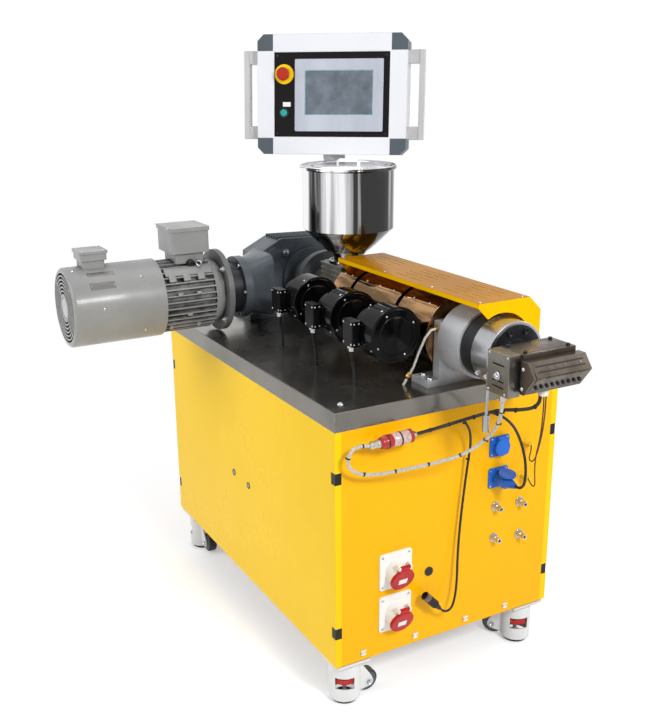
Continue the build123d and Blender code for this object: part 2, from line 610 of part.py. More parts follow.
# Gearbox casting: input flange, input stage, output stage and feet
input_across = MOTOR_ACROSS + ADAPTER_LENGTH
stage_across = input_across + INPUT_FLANGE_LENGTH
output_face = -GEARBOX_FACE_BACK
with BuildPart() as gearbox:
    with BuildSketch(facing_operator(-MOTOR_BACK, stage_across, motor_z)):
        Circle(INPUT_FLANGE_RADIUS)
    extrude(amount=INPUT_FLANGE_LENGTH)
    with BuildSketch(facing_operator(-MOTOR_BACK, stage_across, motor_z)):
        Circle(INPUT_FLANGE_RADIUS - 12)
    with BuildSketch(facing_operator(-MOTOR_BACK - 30, stage_across + 90, motor_z)):
        RectangleRounded(170, 200, 30)
    loft()
    with BuildSketch(facing_front(output_face - 110, 0, 0)) as stage_outline:
        with BuildLine():
            Polyline(
                (200, TABLE_TOP), (548, TABLE_TOP), (548, TABLE_TOP + 18), (536, TABLE_TOP + 18),
                (536, TABLE_TOP + 210), (490, TABLE_TOP + 255), (320, TABLE_TOP + 260),
                (230, TABLE_TOP + 215), (225, TABLE_TOP + 18), (200, TABLE_TOP + 18), close=True,
            )
        make_face()
    extrude(amount=110)
    with BuildSketch(facing_front(output_face, AXIS_ACROSS, AXIS_Z)):
        Circle(LANTERN_RADIUS + 28)
    extrude(amount=14)
    with BuildSketch(facing_front(output_face, AXIS_ACROSS, AXIS_Z)):
        Circle(LANTERN_RADIUS)
    extrude(amount=14, mode=Mode.SUBTRACT)
save(gearbox, "gearbox")

lantern_end = output_face + LANTERN_LENGTH
flange_end = lantern_end + THRUST_FLANGE_LENGTH
with BuildPart() as thrust_housing:
    with BuildSketch(facing_front(output_face, AXIS_ACROSS, AXIS_Z)):
        Circle(LANTERN_RADIUS)
    extrude(amount=LANTERN_LENGTH)
    with BuildSketch(facing_front(lantern_end, AXIS_ACROSS, AXIS_Z)):
        Circle(THRUST_FLANGE_RADIUS)
    extrude(amount=THRUST_FLANGE_LENGTH)
    with BuildSketch(facing_front(flange_end, AXIS_ACROSS, AXIS_Z)):
        Circle(FEED_NECK_RADIUS)
    extrude(amount=-FEED_BLOCK_BACK - flange_end)
save(thrust_housing, "thrust_housing")

feed_block_end = FEED_BLOCK_LENGTH - FEED_BLOCK_BACK
with BuildPart() as feed_throat:
    block_centre = AXIS_Z + (FEED_BLOCK_TOP - FEED_BLOCK_DROP) / 2
    with BuildSketch(facing_front(-FEED_BLOCK_BACK, AXIS_ACROSS, block_centre)):
        Rectangle(FEED_BLOCK_WIDTH, FEED_BLOCK_TOP + FEED_BLOCK_DROP)
    extrude(amount=FEED_BLOCK_LENGTH)
    chamfer(feed_throat.edges().filter_by(Axis.X), length=12)
    with BuildSketch(facing_up(-HOPPER_BACK, AXIS_ACROSS, AXIS_Z)):
        Circle(HOPPER_NECK_RADIUS - HOPPER_SHEET)
    extrude(amount=FEED_BLOCK_TOP, mode=Mode.SUBTRACT)
save(feed_throat, "feed_throat")

barrel_end = RING_FRONT + BAND_LENGTH
with BuildPart() as barrel:
    with BuildSketch(facing_front(feed_block_end, AXIS_ACROSS, AXIS_Z)):
        Circle(BARREL_RADIUS)
    extrude(amount=barrel_end - feed_block_end)
    with BuildSketch(facing_front(feed_block_end, AXIS_ACROSS, AXIS_Z)):
        Circle(BARREL_BORE)
    extrude(amount=barrel_end - feed_block_end, mode=Mode.SUBTRACT)
save(barrel, "barrel")

with BuildPart() as heater_covers:
    for back, ahead_end in COVER_SPANS:
        length = back - ahead_end
        with BuildSketch(facing_front(-back, AXIS_ACROSS, AXIS_Z)):
            Circle(COVER_RADIUS)
        extrude(amount=length)
        with BuildSketch(facing_front(-back + COVER_SHEET, AXIS_ACROSS, AXIS_Z)):
            Circle(COVER_RADIUS - COVER_SHEET)
        extrude(amount=length - 2 * COVER_SHEET, mode=Mode.SUBTRACT)
        with BuildSketch(facing_front(-back, AXIS_ACROSS, AXIS_Z)):
            Circle(BARREL_RADIUS)
        extrude(amount=length, mode=Mode.SUBTRACT)
        with BuildSketch(facing_front(-ahead_end - 8, AXIS_ACROSS, AXIS_Z)):
            Circle(COVER_RADIUS + COVER_RIM)
            Circle(COVER_RADIUS - COVER_SHEET, mode=Mode.SUBTRACT)
        extrude(amount=8)
save(heater_covers, "heater_covers")

# Cast support that holds the barrel's front end on the table
web_front = SUPPORT_WEB_LENGTH - SUPPORT_WEB_BACK
with BuildPart() as barrel_support:
    foot_centre = web_front - SUPPORT_FOOT_LENGTH / 2
    with BuildSketch(facing_up(foot_centre, AXIS_ACROSS, TABLE_TOP)):
        Rectangle(SUPPORT_FOOT_LENGTH, SUPPORT_FOOT_WIDTH)
    extrude(amount=SUPPORT_FOOT_HEIGHT)
    foot_top = TABLE_TOP + SUPPORT_FOOT_HEIGHT
    web_height = AXIS_Z + SUPPORT_WEB_TOP - foot_top
    with BuildSketch(facing_front(-SUPPORT_WEB_BACK, AXIS_ACROSS, foot_top + web_height / 2)):
        Rectangle(SUPPORT_WEB_WIDTH, web_height)
    extrude(amount=SUPPORT_WEB_LENGTH)
    with BuildSketch(facing_front(web_front, AXIS_ACROSS, AXIS_Z)):
        Circle(SUPPORT_RING_RADIUS)
    extrude(amount=SUPPORT_RING_LENGTH)
    with BuildSketch(facing_front(-SUPPORT_WEB_BACK, AXIS_ACROSS, AXIS_Z)):
        Circle(BARREL_RADIUS)
    extrude(amount=SUPPORT_WEB_LENGTH + SUPPORT_RING_LENGTH, mode=Mode.SUBTRACT)
save(barrel_support, "barrel_support")

with BuildPart() as flange_band:
    with BuildSketch(facing_front(RING_FRONT, AXIS_ACROSS, AXIS_Z)):
        Circle(BAND_RADIUS)
        Circle(BARREL_RADIUS, mode=Mode.SUBTRACT)
    extrude(amount=BAND_LENGTH)
save(flange_band, "flange_band")

with BuildPart() as clamp_ring:
    with BuildSketch(facing_front(barrel_end, AXIS_ACROSS, AXIS_Z)):
        Circle(CLAMP_RADIUS)
    extrude(amount=CLAMP_LENGTH)
    chamfer(clamp_ring.edges().filter_by(GeomType.CIRCLE), length=2)
    with BuildSketch(facing_front(barrel_end, AXIS_ACROSS, AXIS_Z)):
        Circle(CLAMP_RADIUS - CLAMP_RIM)
    extrude(amount=CLAMP_LENGTH, mode=Mode.SUBTRACT)
    probe_ahead, probe_across, probe_bottom = PROBE_FOOT
    with BuildSketch(facing_up(probe_ahead, probe_across, probe_bottom + PROBE_BODY)):
        Circle(PROBE_STEM_RADIUS)
    extrude(amount=AXIS_Z - probe_bottom - PROBE_BODY)
    with BuildSketch(facing_up(probe_ahead, probe_across, probe_bottom)):
        Circle(PROBE_RADIUS)
    extrude(amount=PROBE_BODY)
    with BuildSketch(facing_front(barrel_end, AXIS_ACROSS, AXIS_Z)):
        Circle(CLAMP_RADIUS - CLAMP_RIM)
    extrude(amount=CLAMP_LENGTH, mode=Mode.SUBTRACT)
save(clamp_ring, "clamp_ring")

with BuildPart() as die_adapter:
    with BuildSketch(facing_front(barrel_end, AXIS_ACROSS, AXIS_Z)):
        Circle(ADAPTER_RADIUS)
    extrude(amount=CLAMP_LENGTH + ADAPTER_DISC - 8)
    with BuildSketch(facing_front(CLAMP_FRONT + ADAPTER_DISC - 8, AXIS_ACROSS, AXIS_Z)):
        Circle(ADAPTER_NECK_RADIUS)
    extrude(amount=ADAPTER_NECK + 8)
    with BuildSketch(facing_front(barrel_end, AXIS_ACROSS, AXIS_Z)):
        Circle(BARREL_BORE)
    extrude(amount=DIE_BACK - barrel_end, mode=Mode.SUBTRACT)
save(die_adapter, "die_adapter")

# Sheet die: rear block with its top plate, and a pointed nose that ends in the lips
die_front = DIE_BACK + DIE_REAR_LENGTH
with BuildPart() as die_body:
    with BuildSketch(facing_operator(DIE_BACK, AXIS_ACROSS + DIE_WIDTH / 2, AXIS_Z)):
        with BuildLine():
            Polyline(
                (0, -DIE_HALF_HEIGHT - 3), (DIE_REAR_LENGTH + 14, -DIE_HALF_HEIGHT - 3),
                (DIE_REAR_LENGTH + DIE_NOSE_LENGTH, -DIE_LIP), (DIE_REAR_LENGTH + DIE_NOSE_LENGTH, DIE_LIP),
                (DIE_REAR_LENGTH + 25, DIE_HALF_HEIGHT - DIE_TOP_PLATE),
                (0, DIE_HALF_HEIGHT - DIE_TOP_PLATE), close=True,
            )
        make_face()
    extrude(amount=DIE_WIDTH)
    with BuildSketch(facing_up(die_front, AXIS_ACROSS, AXIS_Z)):
        Rectangle(2 * DIE_NOSE_LENGTH + 20, DIE_WIDTH - 30)
    extrude(amount=0.6, both=True, mode=Mode.SUBTRACT)
save(die_body, "die_body")

die_left = AXIS_ACROSS - DIE_WIDTH / 2
with BuildPart() as die_plates:
    top_plate_bottom = AXIS_Z + DIE_HALF_HEIGHT - DIE_TOP_PLATE
    with BuildSketch(facing_up(DIE_BACK + DIE_REAR_LENGTH / 2, AXIS_ACROSS, top_plate_bottom)):
        Rectangle(DIE_REAR_LENGTH, DIE_WIDTH)
    extrude(amount=DIE_TOP_PLATE)
    for across in (die_left, AXIS_ACROSS + DIE_WIDTH / 2 + 8):
        with BuildSketch(facing_operator(die_front, across, AXIS_Z)):
            with BuildLine():
                Polyline(
                    (2, -DIE_HALF_HEIGHT - 3), (14, -DIE_HALF_HEIGHT - 3), (DIE_NOSE_LENGTH, 0),
                    (25, DIE_HALF_HEIGHT - DIE_TOP_PLATE), (2, DIE_HALF_HEIGHT - DIE_TOP_PLATE), close=True,
                )
            make_face()
        extrude(amount=8)
save(die_plates, "die_plates")

die_box_ahead = DIE_BACK + 16 + DIE_BOX_LENGTH / 2
with BuildPart() as die_terminal_box:
    die_box_bottom = AXIS_Z - DIE_BOX_HEIGHT / 2 - 7
    with BuildSketch(facing_up(die_box_ahead - 16, die_left - DIE_BOX_WIDTH / 2, die_box_bottom)):
        Rectangle(DIE_BOX_LENGTH, DIE_BOX_WIDTH)
    extrude(amount=DIE_BOX_HEIGHT)
    with BuildSketch(facing_operator(die_box_ahead - 16, die_left - DIE_BOX_WIDTH + 2, AXIS_Z - 7)):
        with Locations((0, 22), (0, -18), (0, -32)):
            SlotOverall(44, 5)
    extrude(amount=2, mode=Mode.SUBTRACT)
    with BuildSketch(facing_up(BOX_GLAND[0], BOX_GLAND[1], BOX_GLAND[2])):
        Circle(BOX_GLAND_RADIUS)
    extrude(amount=die_box_bottom - BOX_GLAND[2])
    with BuildSketch(facing_up(BOX_GLAND[0], BOX_GLAND[1], die_box_bottom - 8)):
        RegularPolygon(BOX_GLAND_RADIUS + 3, 6)
    extrude(amount=8)
    with BuildSketch(facing_up(DIE_SLEEVE[0], DIE_SLEEVE[1], DIE_SLEEVE[2])):
        Circle(DIE_SLEEVE_RADIUS)
    extrude(amount=AXIS_Z - DIE_HALF_HEIGHT - 3 - DIE_SLEEVE[2])
save(die_terminal_box, "die_terminal_box")

# Guard: bent sheet over the barrel with an end plate at each end
guard_length = GUARD_BACK + GUARD_AHEAD
guard_far = GUARD_NEAR + GUARD_TOP_WIDTH + GUARD_CHAMFER


def guard_outline(inset):
    """Outer bend line of the guard, moved inwards by inset."""
    return [
        (GUARD_NEAR + inset, GUARD_TOP - GUARD_LIP), (GUARD_NEAR + inset, GUARD_TOP - inset),
        (GUARD_NEAR + GUARD_TOP_WIDTH - 0.41 * inset, GUARD_TOP - inset),
        (guard_far - inset, GUARD_TOP - GUARD_CHAMFER - 0.41 * inset), (guard_far - inset, TABLE_TOP),
    ]


with BuildPart() as guard:
    with BuildSketch(facing_front(-GUARD_BACK, 0, 0)):
        with BuildLine():
            outer = guard_outline(0)
            inner = guard_outline(GUARD_SHEET)
            Polyline(*outer, *reversed(inner), close=True)
        make_face()
    extrude(amount=guard_length)
    for plate_ahead in (-GUARD_BACK, GUARD_AHEAD - GUARD_SHEET):
        with BuildSketch(facing_front(plate_ahead, 0, 0)):
            with BuildLine():
                Polyline(
                    *guard_outline(0), (GUARD_NEAR + 100, TABLE_TOP + 40),
                    (GUARD_NEAR + 31, GUARD_TOP - 43), close=True,
                )
            make_face()
            with Locations((AXIS_ACROSS, AXIS_Z)):
                Circle(GUARD_OPENING, mode=Mode.SUBTRACT)
            with Locations((AXIS_ACROSS - GUARD_OPENING / 2, AXIS_Z - GUARD_OPENING)):
                Rectangle(3 * GUARD_OPENING, 2 * GUARD_OPENING, mode=Mode.SUBTRACT)
        extrude(amount=GUARD_SHEET)
save(guard, "guard")

# Hopper: rolled rim, cylinder, cone and neck
cylinder_bottom = HOPPER_TOP - HOPPER_CYLINDER
cone_bottom = cylinder_bottom - HOPPER_CONE
neck_bottom = AXIS_Z + FEED_BLOCK_TOP
with BuildPart() as hopper:
    hopper_plane = Plane(origin=(FRONT_X - HOPPER_BACK, AXIS_Y, 0), x_dir=(1, 0, 0), z_dir=(0, -1, 0))
    with BuildSketch(hopper_plane):
        with BuildLine():
            Polyline(
                (HOPPER_NECK_RADIUS - HOPPER_SHEET, neck_bottom), (HOPPER_NECK_RADIUS + 14, neck_bottom),
                (HOPPER_NECK_RADIUS + 14, neck_bottom + 6), (HOPPER_NECK_RADIUS, neck_bottom + 6),
                (HOPPER_NECK_RADIUS, cone_bottom), (HOPPER_RADIUS, cylinder_bottom),
                (HOPPER_RADIUS, HOPPER_TOP), (HOPPER_RADIUS - HOPPER_SHEET, HOPPER_TOP),
                (HOPPER_RADIUS - HOPPER_SHEET, cylinder_bottom + 1),
                (HOPPER_NECK_RADIUS - HOPPER_SHEET, cone_bottom + 1), close=True,
            )
        make_face()
        with Locations((HOPPER_RADIUS + HOPPER_RIM_TUBE - 1.5, HOPPER_TOP - HOPPER_RIM_TUBE)):
            Circle(HOPPER_RIM_TUBE)
    revolve(axis=Axis((FRONT_X - HOPPER_BACK, AXIS_Y, 0), (0, 0, 1)))
save(hopper, "hopper")

with BuildPart() as hopper_lid:
    with BuildSketch(facing_up(-HOPPER_BACK, AXIS_ACROSS, HOPPER_TOP)):
        Circle(HOPPER_RADIUS + 4)
    extrude(amount=LID_THICKNESS)
    with BuildSketch(facing_up(-HOPPER_BACK, AXIS_ACROSS, HOPPER_TOP - 10)):
        Circle(LID_RADIUS)
        Circle(LID_RADIUS - 3, mode=Mode.SUBTRACT)
    extrude(amount=10)
    handle_plane = Plane(
        origin=(FRONT_X - HOPPER_BACK, AXIS_Y, HOPPER_TOP + LID_THICKNESS),
        x_dir=(0.64, 0.77, 0), z_dir=(0.77, -0.64, 0),
    )
    with BuildLine(handle_plane):
        handle_path = FilletPolyline((-32, -1), (-32, 12), (32, 12), (32, -1), radius=8)
    with BuildSketch(Plane(origin=handle_path @ 0, z_dir=handle_path % 0)):
        Rectangle(10, 3)
    sweep()
save(hopper_lid, "hopper_lid")

# Blowers beside the barrel: drum, motor and duct, each with a terminal box and cable gland
blower_z = TABLE_TOP + BLOWER_ABOVE_TABLE
box_length, box_width, box_height = BLOWER_BOX
box_across = BLOWER_ACROSS - BLOWER_RADIUS - box_width / 2 + 6
box_behind = BLOWER_LENGTH + 20
with BuildPart() as blowers:
    for face in BLOWER_FACES:
        drum_back = -face - BLOWER_LENGTH
        with BuildSketch(facing_front(drum_back, BLOWER_ACROSS, blower_z)):
            Circle(BLOWER_RADIUS)
        extrude(amount=BLOWER_LENGTH)
        with BuildSketch(facing_front(drum_back - BLOWER_MOTOR_LENGTH, BLOWER_ACROSS, blower_z)):
            Circle(BLOWER_MOTOR_RADIUS)
        extrude(amount=BLOWER_MOTOR_LENGTH)
        with BuildSketch(facing_front(drum_back + 8, BLOWER_ACROSS + 60, blower_z - 40)):
            Rectangle(80, 50)
        extrude(amount=BLOWER_LENGTH - 16)
    cover_back, cover_ahead = COVER_SPANS[0][0], COVER_SPANS[-1][1]
    with BuildSketch(facing_front(-cover_back, AXIS_ACROSS, AXIS_Z)):
        Circle(COVER_RADIUS)
    extrude(amount=cover_back - cover_ahead, mode=Mode.SUBTRACT)
save(blowers, "blowers")

with BuildPart() as blower_boxes:
    for face in BLOWER_FACES:
        box_ahead = -face - box_behind
        with BuildSketch(facing_up(box_ahead, box_across, blower_z - box_height / 2)):
            RectangleRounded(box_length, box_width, 3)
        extrude(amount=box_height)
        neck_width = BLOWER_ACROSS - BLOWER_MOTOR_RADIUS + 12 - box_across
        with BuildSketch(facing_up(box_ahead, box_across + neck_width / 2, blower_z - 15)):
            Rectangle(30, neck_width)
        extrude(amount=30)
        with BuildSketch(facing_up(box_ahead, box_across, blower_z - box_height / 2 - 16)):
            Circle(8)
        extrude(amount=16)
        with BuildSketch(facing_up(box_ahead, box_across, blower_z - box_height / 2 - 8)):
            RegularPolygon(11, 6)
        extrude(amount=8)
    for face in BLOWER_FACES:
        with BuildSketch(facing_front(-face - BLOWER_LENGTH - BLOWER_MOTOR_LENGTH, BLOWER_ACROSS, blower_z)):
            Circle(BLOWER_MOTOR_RADIUS)
        extrude(amount=BLOWER_MOTOR_LENGTH, mode=Mode.SUBTRACT)
        with BuildSketch(facing_front(-face - BLOWER_LENGTH, BLOWER_ACROSS, blower_z)):
            Circle(BLOWER_RADIUS)
        extrude(amount=BLOWER_LENGTH, mode=Mode.SUBTRACT)
save(blower_boxes, "blower_boxes")

# Panel box on its post
face_normal = Vector(
    cos(radians(BOX_TILT)) * cos(radians(BOX_TURN)),
    cos(radians(BOX_TILT)) * sin(radians(BOX_TURN)),
    sin(radians(BOX_TILT)),
)
face_right = Vector(-sin(radians(BOX_TURN)), cos(radians(BOX_TURN)), 0)
face_centre = Vector(FRONT_X - BOX_FACE_BACK, SIDE_Y + BOX_FACE_ACROSS, BOX_HEIGHT_CENTRE)
face_up = face_normal.cross(face_right)


def on_face(depth, x=0.0, y=0.0):
    """Plane parallel to the box's face, depth millimetres in front of it."""
    origin = face_centre + face_normal * depth + face_right * x + face_up * y
    return Plane(origin=origin, x_dir=face_right, z_dir=face_normal)


with BuildPart() as box_frame:
    with BuildSketch(on_face(-BOX_DEPTH)):
        Rectangle(BOX_WIDTH - 2 * BOX_FRAME, BOX_HEIGHT)
        Rectangle(BOX_WIDTH, BOX_HEIGHT - 2 * BOX_FRAME)
    extrude(amount=BOX_DEPTH)
    with BuildSketch(on_face(-PANEL_RECESS)):
        Rectangle(FACE_WIDTH, FACE_HEIGHT)
    extrude(amount=PANEL_RECESS, mode=Mode.SUBTRACT)
    with BuildSketch(on_face(-PANEL_RECESS)):
        for button_y in (STOP_Y, START_Y):
            with Locations((BUTTON_X, button_y)):
                Circle(BUTTON_HOLE + 2)
    extrude(amount=-BUTTON_WELL, mode=Mode.SUBTRACT)
save(box_frame, "box_frame")

corner_x = BOX_WIDTH / 2 - BOX_FRAME / 2
corner_y = BOX_HEIGHT / 2 - BOX_FRAME / 2
with BuildPart() as box_corners:
    for sx in (-1, 1):
        for sy in (-1, 1):
            with BuildSketch(on_face(-BOX_DEPTH, sx * corner_x, sy * corner_y)):
                with BuildLine():
                    half = BOX_FRAME / 2
                    Polyline(
                        (-sx * half, -sy * half), (sx * half, -sy * half),
                        (sx * half, sy * (half - BOX_CORNER_CUT)), (sx * (half - BOX_CORNER_CUT), sy * half),
                        (-sx * half, sy * half), close=True,
                    )
                make_face()
            extrude(amount=BOX_DEPTH)
save(box_corners, "box_corners")

with BuildPart() as box_panel:
    with BuildSketch(on_face(-PANEL_RECESS)):
        Rectangle(FACE_WIDTH, FACE_HEIGHT)
        for button_y in (STOP_Y, START_Y):
            with Locations((BUTTON_X, button_y)):
                Circle(BUTTON_HOLE, mode=Mode.SUBTRACT)
    extrude(amount=PANEL_PLATE)
save(box_panel, "box_panel")

panel_front = PANEL_PLATE - PANEL_RECESS
with BuildPart() as screen_bezel:
    with BuildSketch(on_face(panel_front, SCREEN_OFFSET, SCREEN_DROP)):
        RectangleRounded(SCREEN_WIDTH, SCREEN_HEIGHT, 4)
    extrude(amount=SCREEN_THICKNESS)
    with BuildSketch(on_face(panel_front + SCREEN_THICKNESS - 2, SCREEN_OFFSET, SCREEN_DROP + 8)):
        Rectangle(SCREEN_VIEW_WIDTH, SCREEN_VIEW_HEIGHT)
    extrude(amount=2, mode=Mode.SUBTRACT)
save(screen_bezel, "screen_bezel")

with BuildPart() as button_collars:
    for button_y, collar_radius, collar_height in (
        (STOP_Y, STOP_COLLAR_RADIUS, 3), (START_Y, START_COLLAR_RADIUS, 5),
    ):
        with BuildSketch(on_face(panel_front, BUTTON_X, button_y)):
            Circle(collar_radius)
            Circle(BUTTON_HOLE, mode=Mode.SUBTRACT)
        extrude(amount=collar_height)
save(button_collars, "button_collars")

button_stem = BUTTON_HOLE - BUTTON_CLEARANCE
with BuildPart() as stop_button:
    with BuildSketch(on_face(panel_front - 2, BUTTON_X, STOP_Y)):
        Circle(button_stem)
    extrude(amount=STOP_HEAD_UP + 2)
    with BuildSketch(on_face(panel_front + STOP_HEAD_UP, BUTTON_X, STOP_Y)):
        Circle(STOP_HEAD_RADIUS)
    extrude(amount=STOP_HEAD_HEIGHT)
    fillet(stop_button.faces().sort_by(Axis(face_centre, face_normal))[-1].edges(), radius=4)
save(stop_button, "stop_button")

with BuildPart() as start_button:
    with BuildSketch(on_face(panel_front - 2, BUTTON_X, START_Y)):
        Circle(button_stem)
    extrude(amount=START_HEIGHT + 2)
    fillet(start_button.faces().sort_by(Axis(face_centre, face_normal))[-1].edges(), radius=1.5)
save(start_button, "start_button")

with BuildPart() as box_handles:
    for sx in (-1, 1):
        grip_x = sx * (BOX_WIDTH / 2 + HANDLE_REACH - HANDLE_GRIP / 2)
        with BuildSketch(on_face(-62, grip_x, 0)):
            RectangleRounded(HANDLE_GRIP, HANDLE_HEIGHT, 3)
        extrude(amount=36)
        for sy in (-1, 1):
            bracket_x = sx * (BOX_WIDTH / 2 + HANDLE_REACH / 2)
            with BuildSketch(on_face(-60, bracket_x, sy * (HANDLE_HEIGHT - HANDLE_BRACKET) / 2)):
                Rectangle(HANDLE_REACH, HANDLE_BRACKET)
            extrude(amount=32)
save(box_handles, "box_handles")

with BuildPart() as panel_post:
    with BuildLine():
        post_path = FilletPolyline(
            (FRONT_X - POST_BACK, SIDE_Y + POST_ACROSS, TABLE_TOP),
            (FRONT_X - POST_BACK, SIDE_Y + POST_ACROSS, POST_ARM_HEIGHT),
            (FRONT_X - SWIVEL_BACK, SIDE_Y + SWIVEL_ACROSS, POST_ARM_HEIGHT),
            (FRONT_X - SWIVEL_BACK, SIDE_Y + SWIVEL_ACROSS, SWIVEL_HEIGHT),
            radius=40,
        )
    with BuildSketch(Plane(origin=post_path @ 0, z_dir=post_path % 0)):
        Circle(POST_RADIUS)
    sweep()
    with BuildSketch(facing_up(-POST_BACK, POST_ACROSS, TABLE_TOP)):
        Circle(POST_RADIUS + 22)
    extrude(amount=10)
    with BuildSketch(facing_up(-SWIVEL_BACK, SWIVEL_ACROSS, SWIVEL_HEIGHT - 10)):
        Circle(POST_RADIUS + 6)
    extrude(amount=10)
    with BuildSketch(facing_up(-SWIVEL_BACK, SWIVEL_ACROSS, SWIVEL_HEIGHT)):
        Circle(12)
    extrude(amount=12)
save(panel_post, "panel_post")

with BuildPart() as box_swivel:
    with BuildSketch(facing_up(-SWIVEL_BACK, SWIVEL_ACROSS, SWIVEL_HEIGHT + SWIVEL_GAP)):
        Circle(POST_RADIUS + 4)
    with BuildSketch(facing_up(-SWIVEL_BACK, SWIVEL_ACROSS, SWIVEL_HEIGHT + 12)):
        RectangleRounded(58, 58, 12)
    loft()
    with BuildSketch(facing_up(-SWIVEL_BACK, SWIVEL_ACROSS, SWIVEL_HEIGHT + 12)):
        RectangleRounded(58, 58, 12)
    extrude(amount=40)
    with BuildSketch(facing_up(-SWIVEL_BACK, SWIVEL_ACROSS, SWIVEL_HEIGHT)):
        Circle(12.3)
    extrude(amount=12.3, mode=Mode.SUBTRACT)
    split(bisect_by=Plane(origin=face_centre - face_up * (BOX_HEIGHT / 2), z_dir=face_up), keep=Keep.BOTTOM)
save(box_swivel, "box_swivel")

# Round power sockets on the front panel: flange, tilted collar and hinged lid
socket_tilt = radians(SOCKET_TILT)
socket_out = Vector(cos(socket_tilt), 0, -sin(socket_tilt))


def on_socket(height, depth, x=0.0, y=0.0):
    """Plane square to a power socket's tilted axis, depth millimetres out from its root."""
    up = Vector(sin(socket_tilt), 0, cos(socket_tilt))
    root = Vector(FRONT_X, SIDE_Y + SOCKET_ACROSS, height)
    place = root + socket_out * depth + up * y + Vector(0, x, 0)
    return Plane(origin=place, x_dir=(0, 1, 0), z_dir=socket_out)


def on_socket_side(height, x):
    """Plane through a power socket across its hinge: its x runs out, its y runs up."""
    root = Vector(FRONT_X, SIDE_Y + SOCKET_ACROSS + x, height)
    return Plane(origin=root, x_dir=socket_out, z_dir=(0, -1, 0))


with BuildPart() as power_sockets:
    for height in SOCKET_HEIGHTS:
        with BuildSketch(on_socket(height, -20)):
            Circle(SOCKET_RADIUS)
        extrude(amount=20 + SOCKET_LENGTH)
        with BuildSketch(facing_front(-40, SOCKET_ACROSS, height)):
            Rectangle(90, 90)
        extrude(amount=40, mode=Mode.SUBTRACT)
        with BuildSketch(facing_front(0, SOCKET_ACROSS, height)):
            RectangleRounded(SOCKET_FLANGE_WIDTH, SOCKET_FLANGE_HEIGHT, 8)
        extrude(amount=SOCKET_FLANGE)
        with BuildSketch(on_socket(height, SOCKET_LENGTH - SOCKET_DEPTH)):
            Circle(SOCKET_RADIUS - SOCKET_WALL)
        extrude(amount=SOCKET_DEPTH, mode=Mode.SUBTRACT)
        for ear_x in (SOCKET_EAR + SOCKET_EAR_WIDTH, -SOCKET_EAR):
            with BuildSketch(on_socket_side(height, ear_x)):
                with BuildLine():
                    Polyline(
                        (SOCKET_LENGTH - 22, SOCKET_RADIUS - 9), (SOCKET_LENGTH - 2, SOCKET_RADIUS - 9),
                        (SOCKET_LENGTH - 2, LID_HINGE_UP - 5), (LID_HINGE_OUT + 5, LID_HINGE_UP - 5),
                        (LID_HINGE_OUT + 5, LID_HINGE_UP + 5), (SOCKET_LENGTH - 10, LID_HINGE_UP + 5),
                        close=True,
                    )
                make_face()
            extrude(amount=SOCKET_EAR_WIDTH)
        with BuildSketch(on_socket_side(height, SOCKET_EAR + 1)):
            with Locations((LID_HINGE_OUT, LID_HINGE_UP)):
                Circle(LID_PIN_RADIUS)
        extrude(amount=2 * SOCKET_EAR + 2)
save(power_sockets, "power_sockets")

for name, height in zip(("power_lid_upper", "power_lid_lower"), SOCKET_HEIGHTS):
    with BuildPart() as power_lid:
        with BuildSketch(on_socket(height, SOCKET_LENGTH + 0.5)):
            Circle(SOCKET_LID_RADIUS)
        extrude(amount=SOCKET_LID_THICKNESS)
        fillet(power_lid.edges().filter_by(GeomType.CIRCLE), radius=2)
        with BuildSketch(on_socket_side(height, SOCKET_EAR - 1)):
            with Locations((LID_HINGE_OUT, LID_HINGE_UP)):
                Circle(5)
            with BuildLine():
                Polyline(
                    (SOCKET_LENGTH + 1.5, SOCKET_LID_RADIUS - 12),
                    (SOCKET_LENGTH + 8, SOCKET_LID_RADIUS - 12),
                    (LID_HINGE_OUT + 5, LID_HINGE_UP), (LID_HINGE_OUT - 3, LID_HINGE_UP), close=True,
                )
            make_face()
        extrude(amount=2 * SOCKET_EAR - 2)
        with BuildSketch(on_socket_side(height, SOCKET_EAR)):
            with Locations((LID_HINGE_OUT, LID_HINGE_UP)):
                Circle(LID_PIN_RADIUS + LID_PIN_GAP)
        extrude(amount=2 * SOCKET_EAR, mode=Mode.SUBTRACT)
    save(power_lid, name)

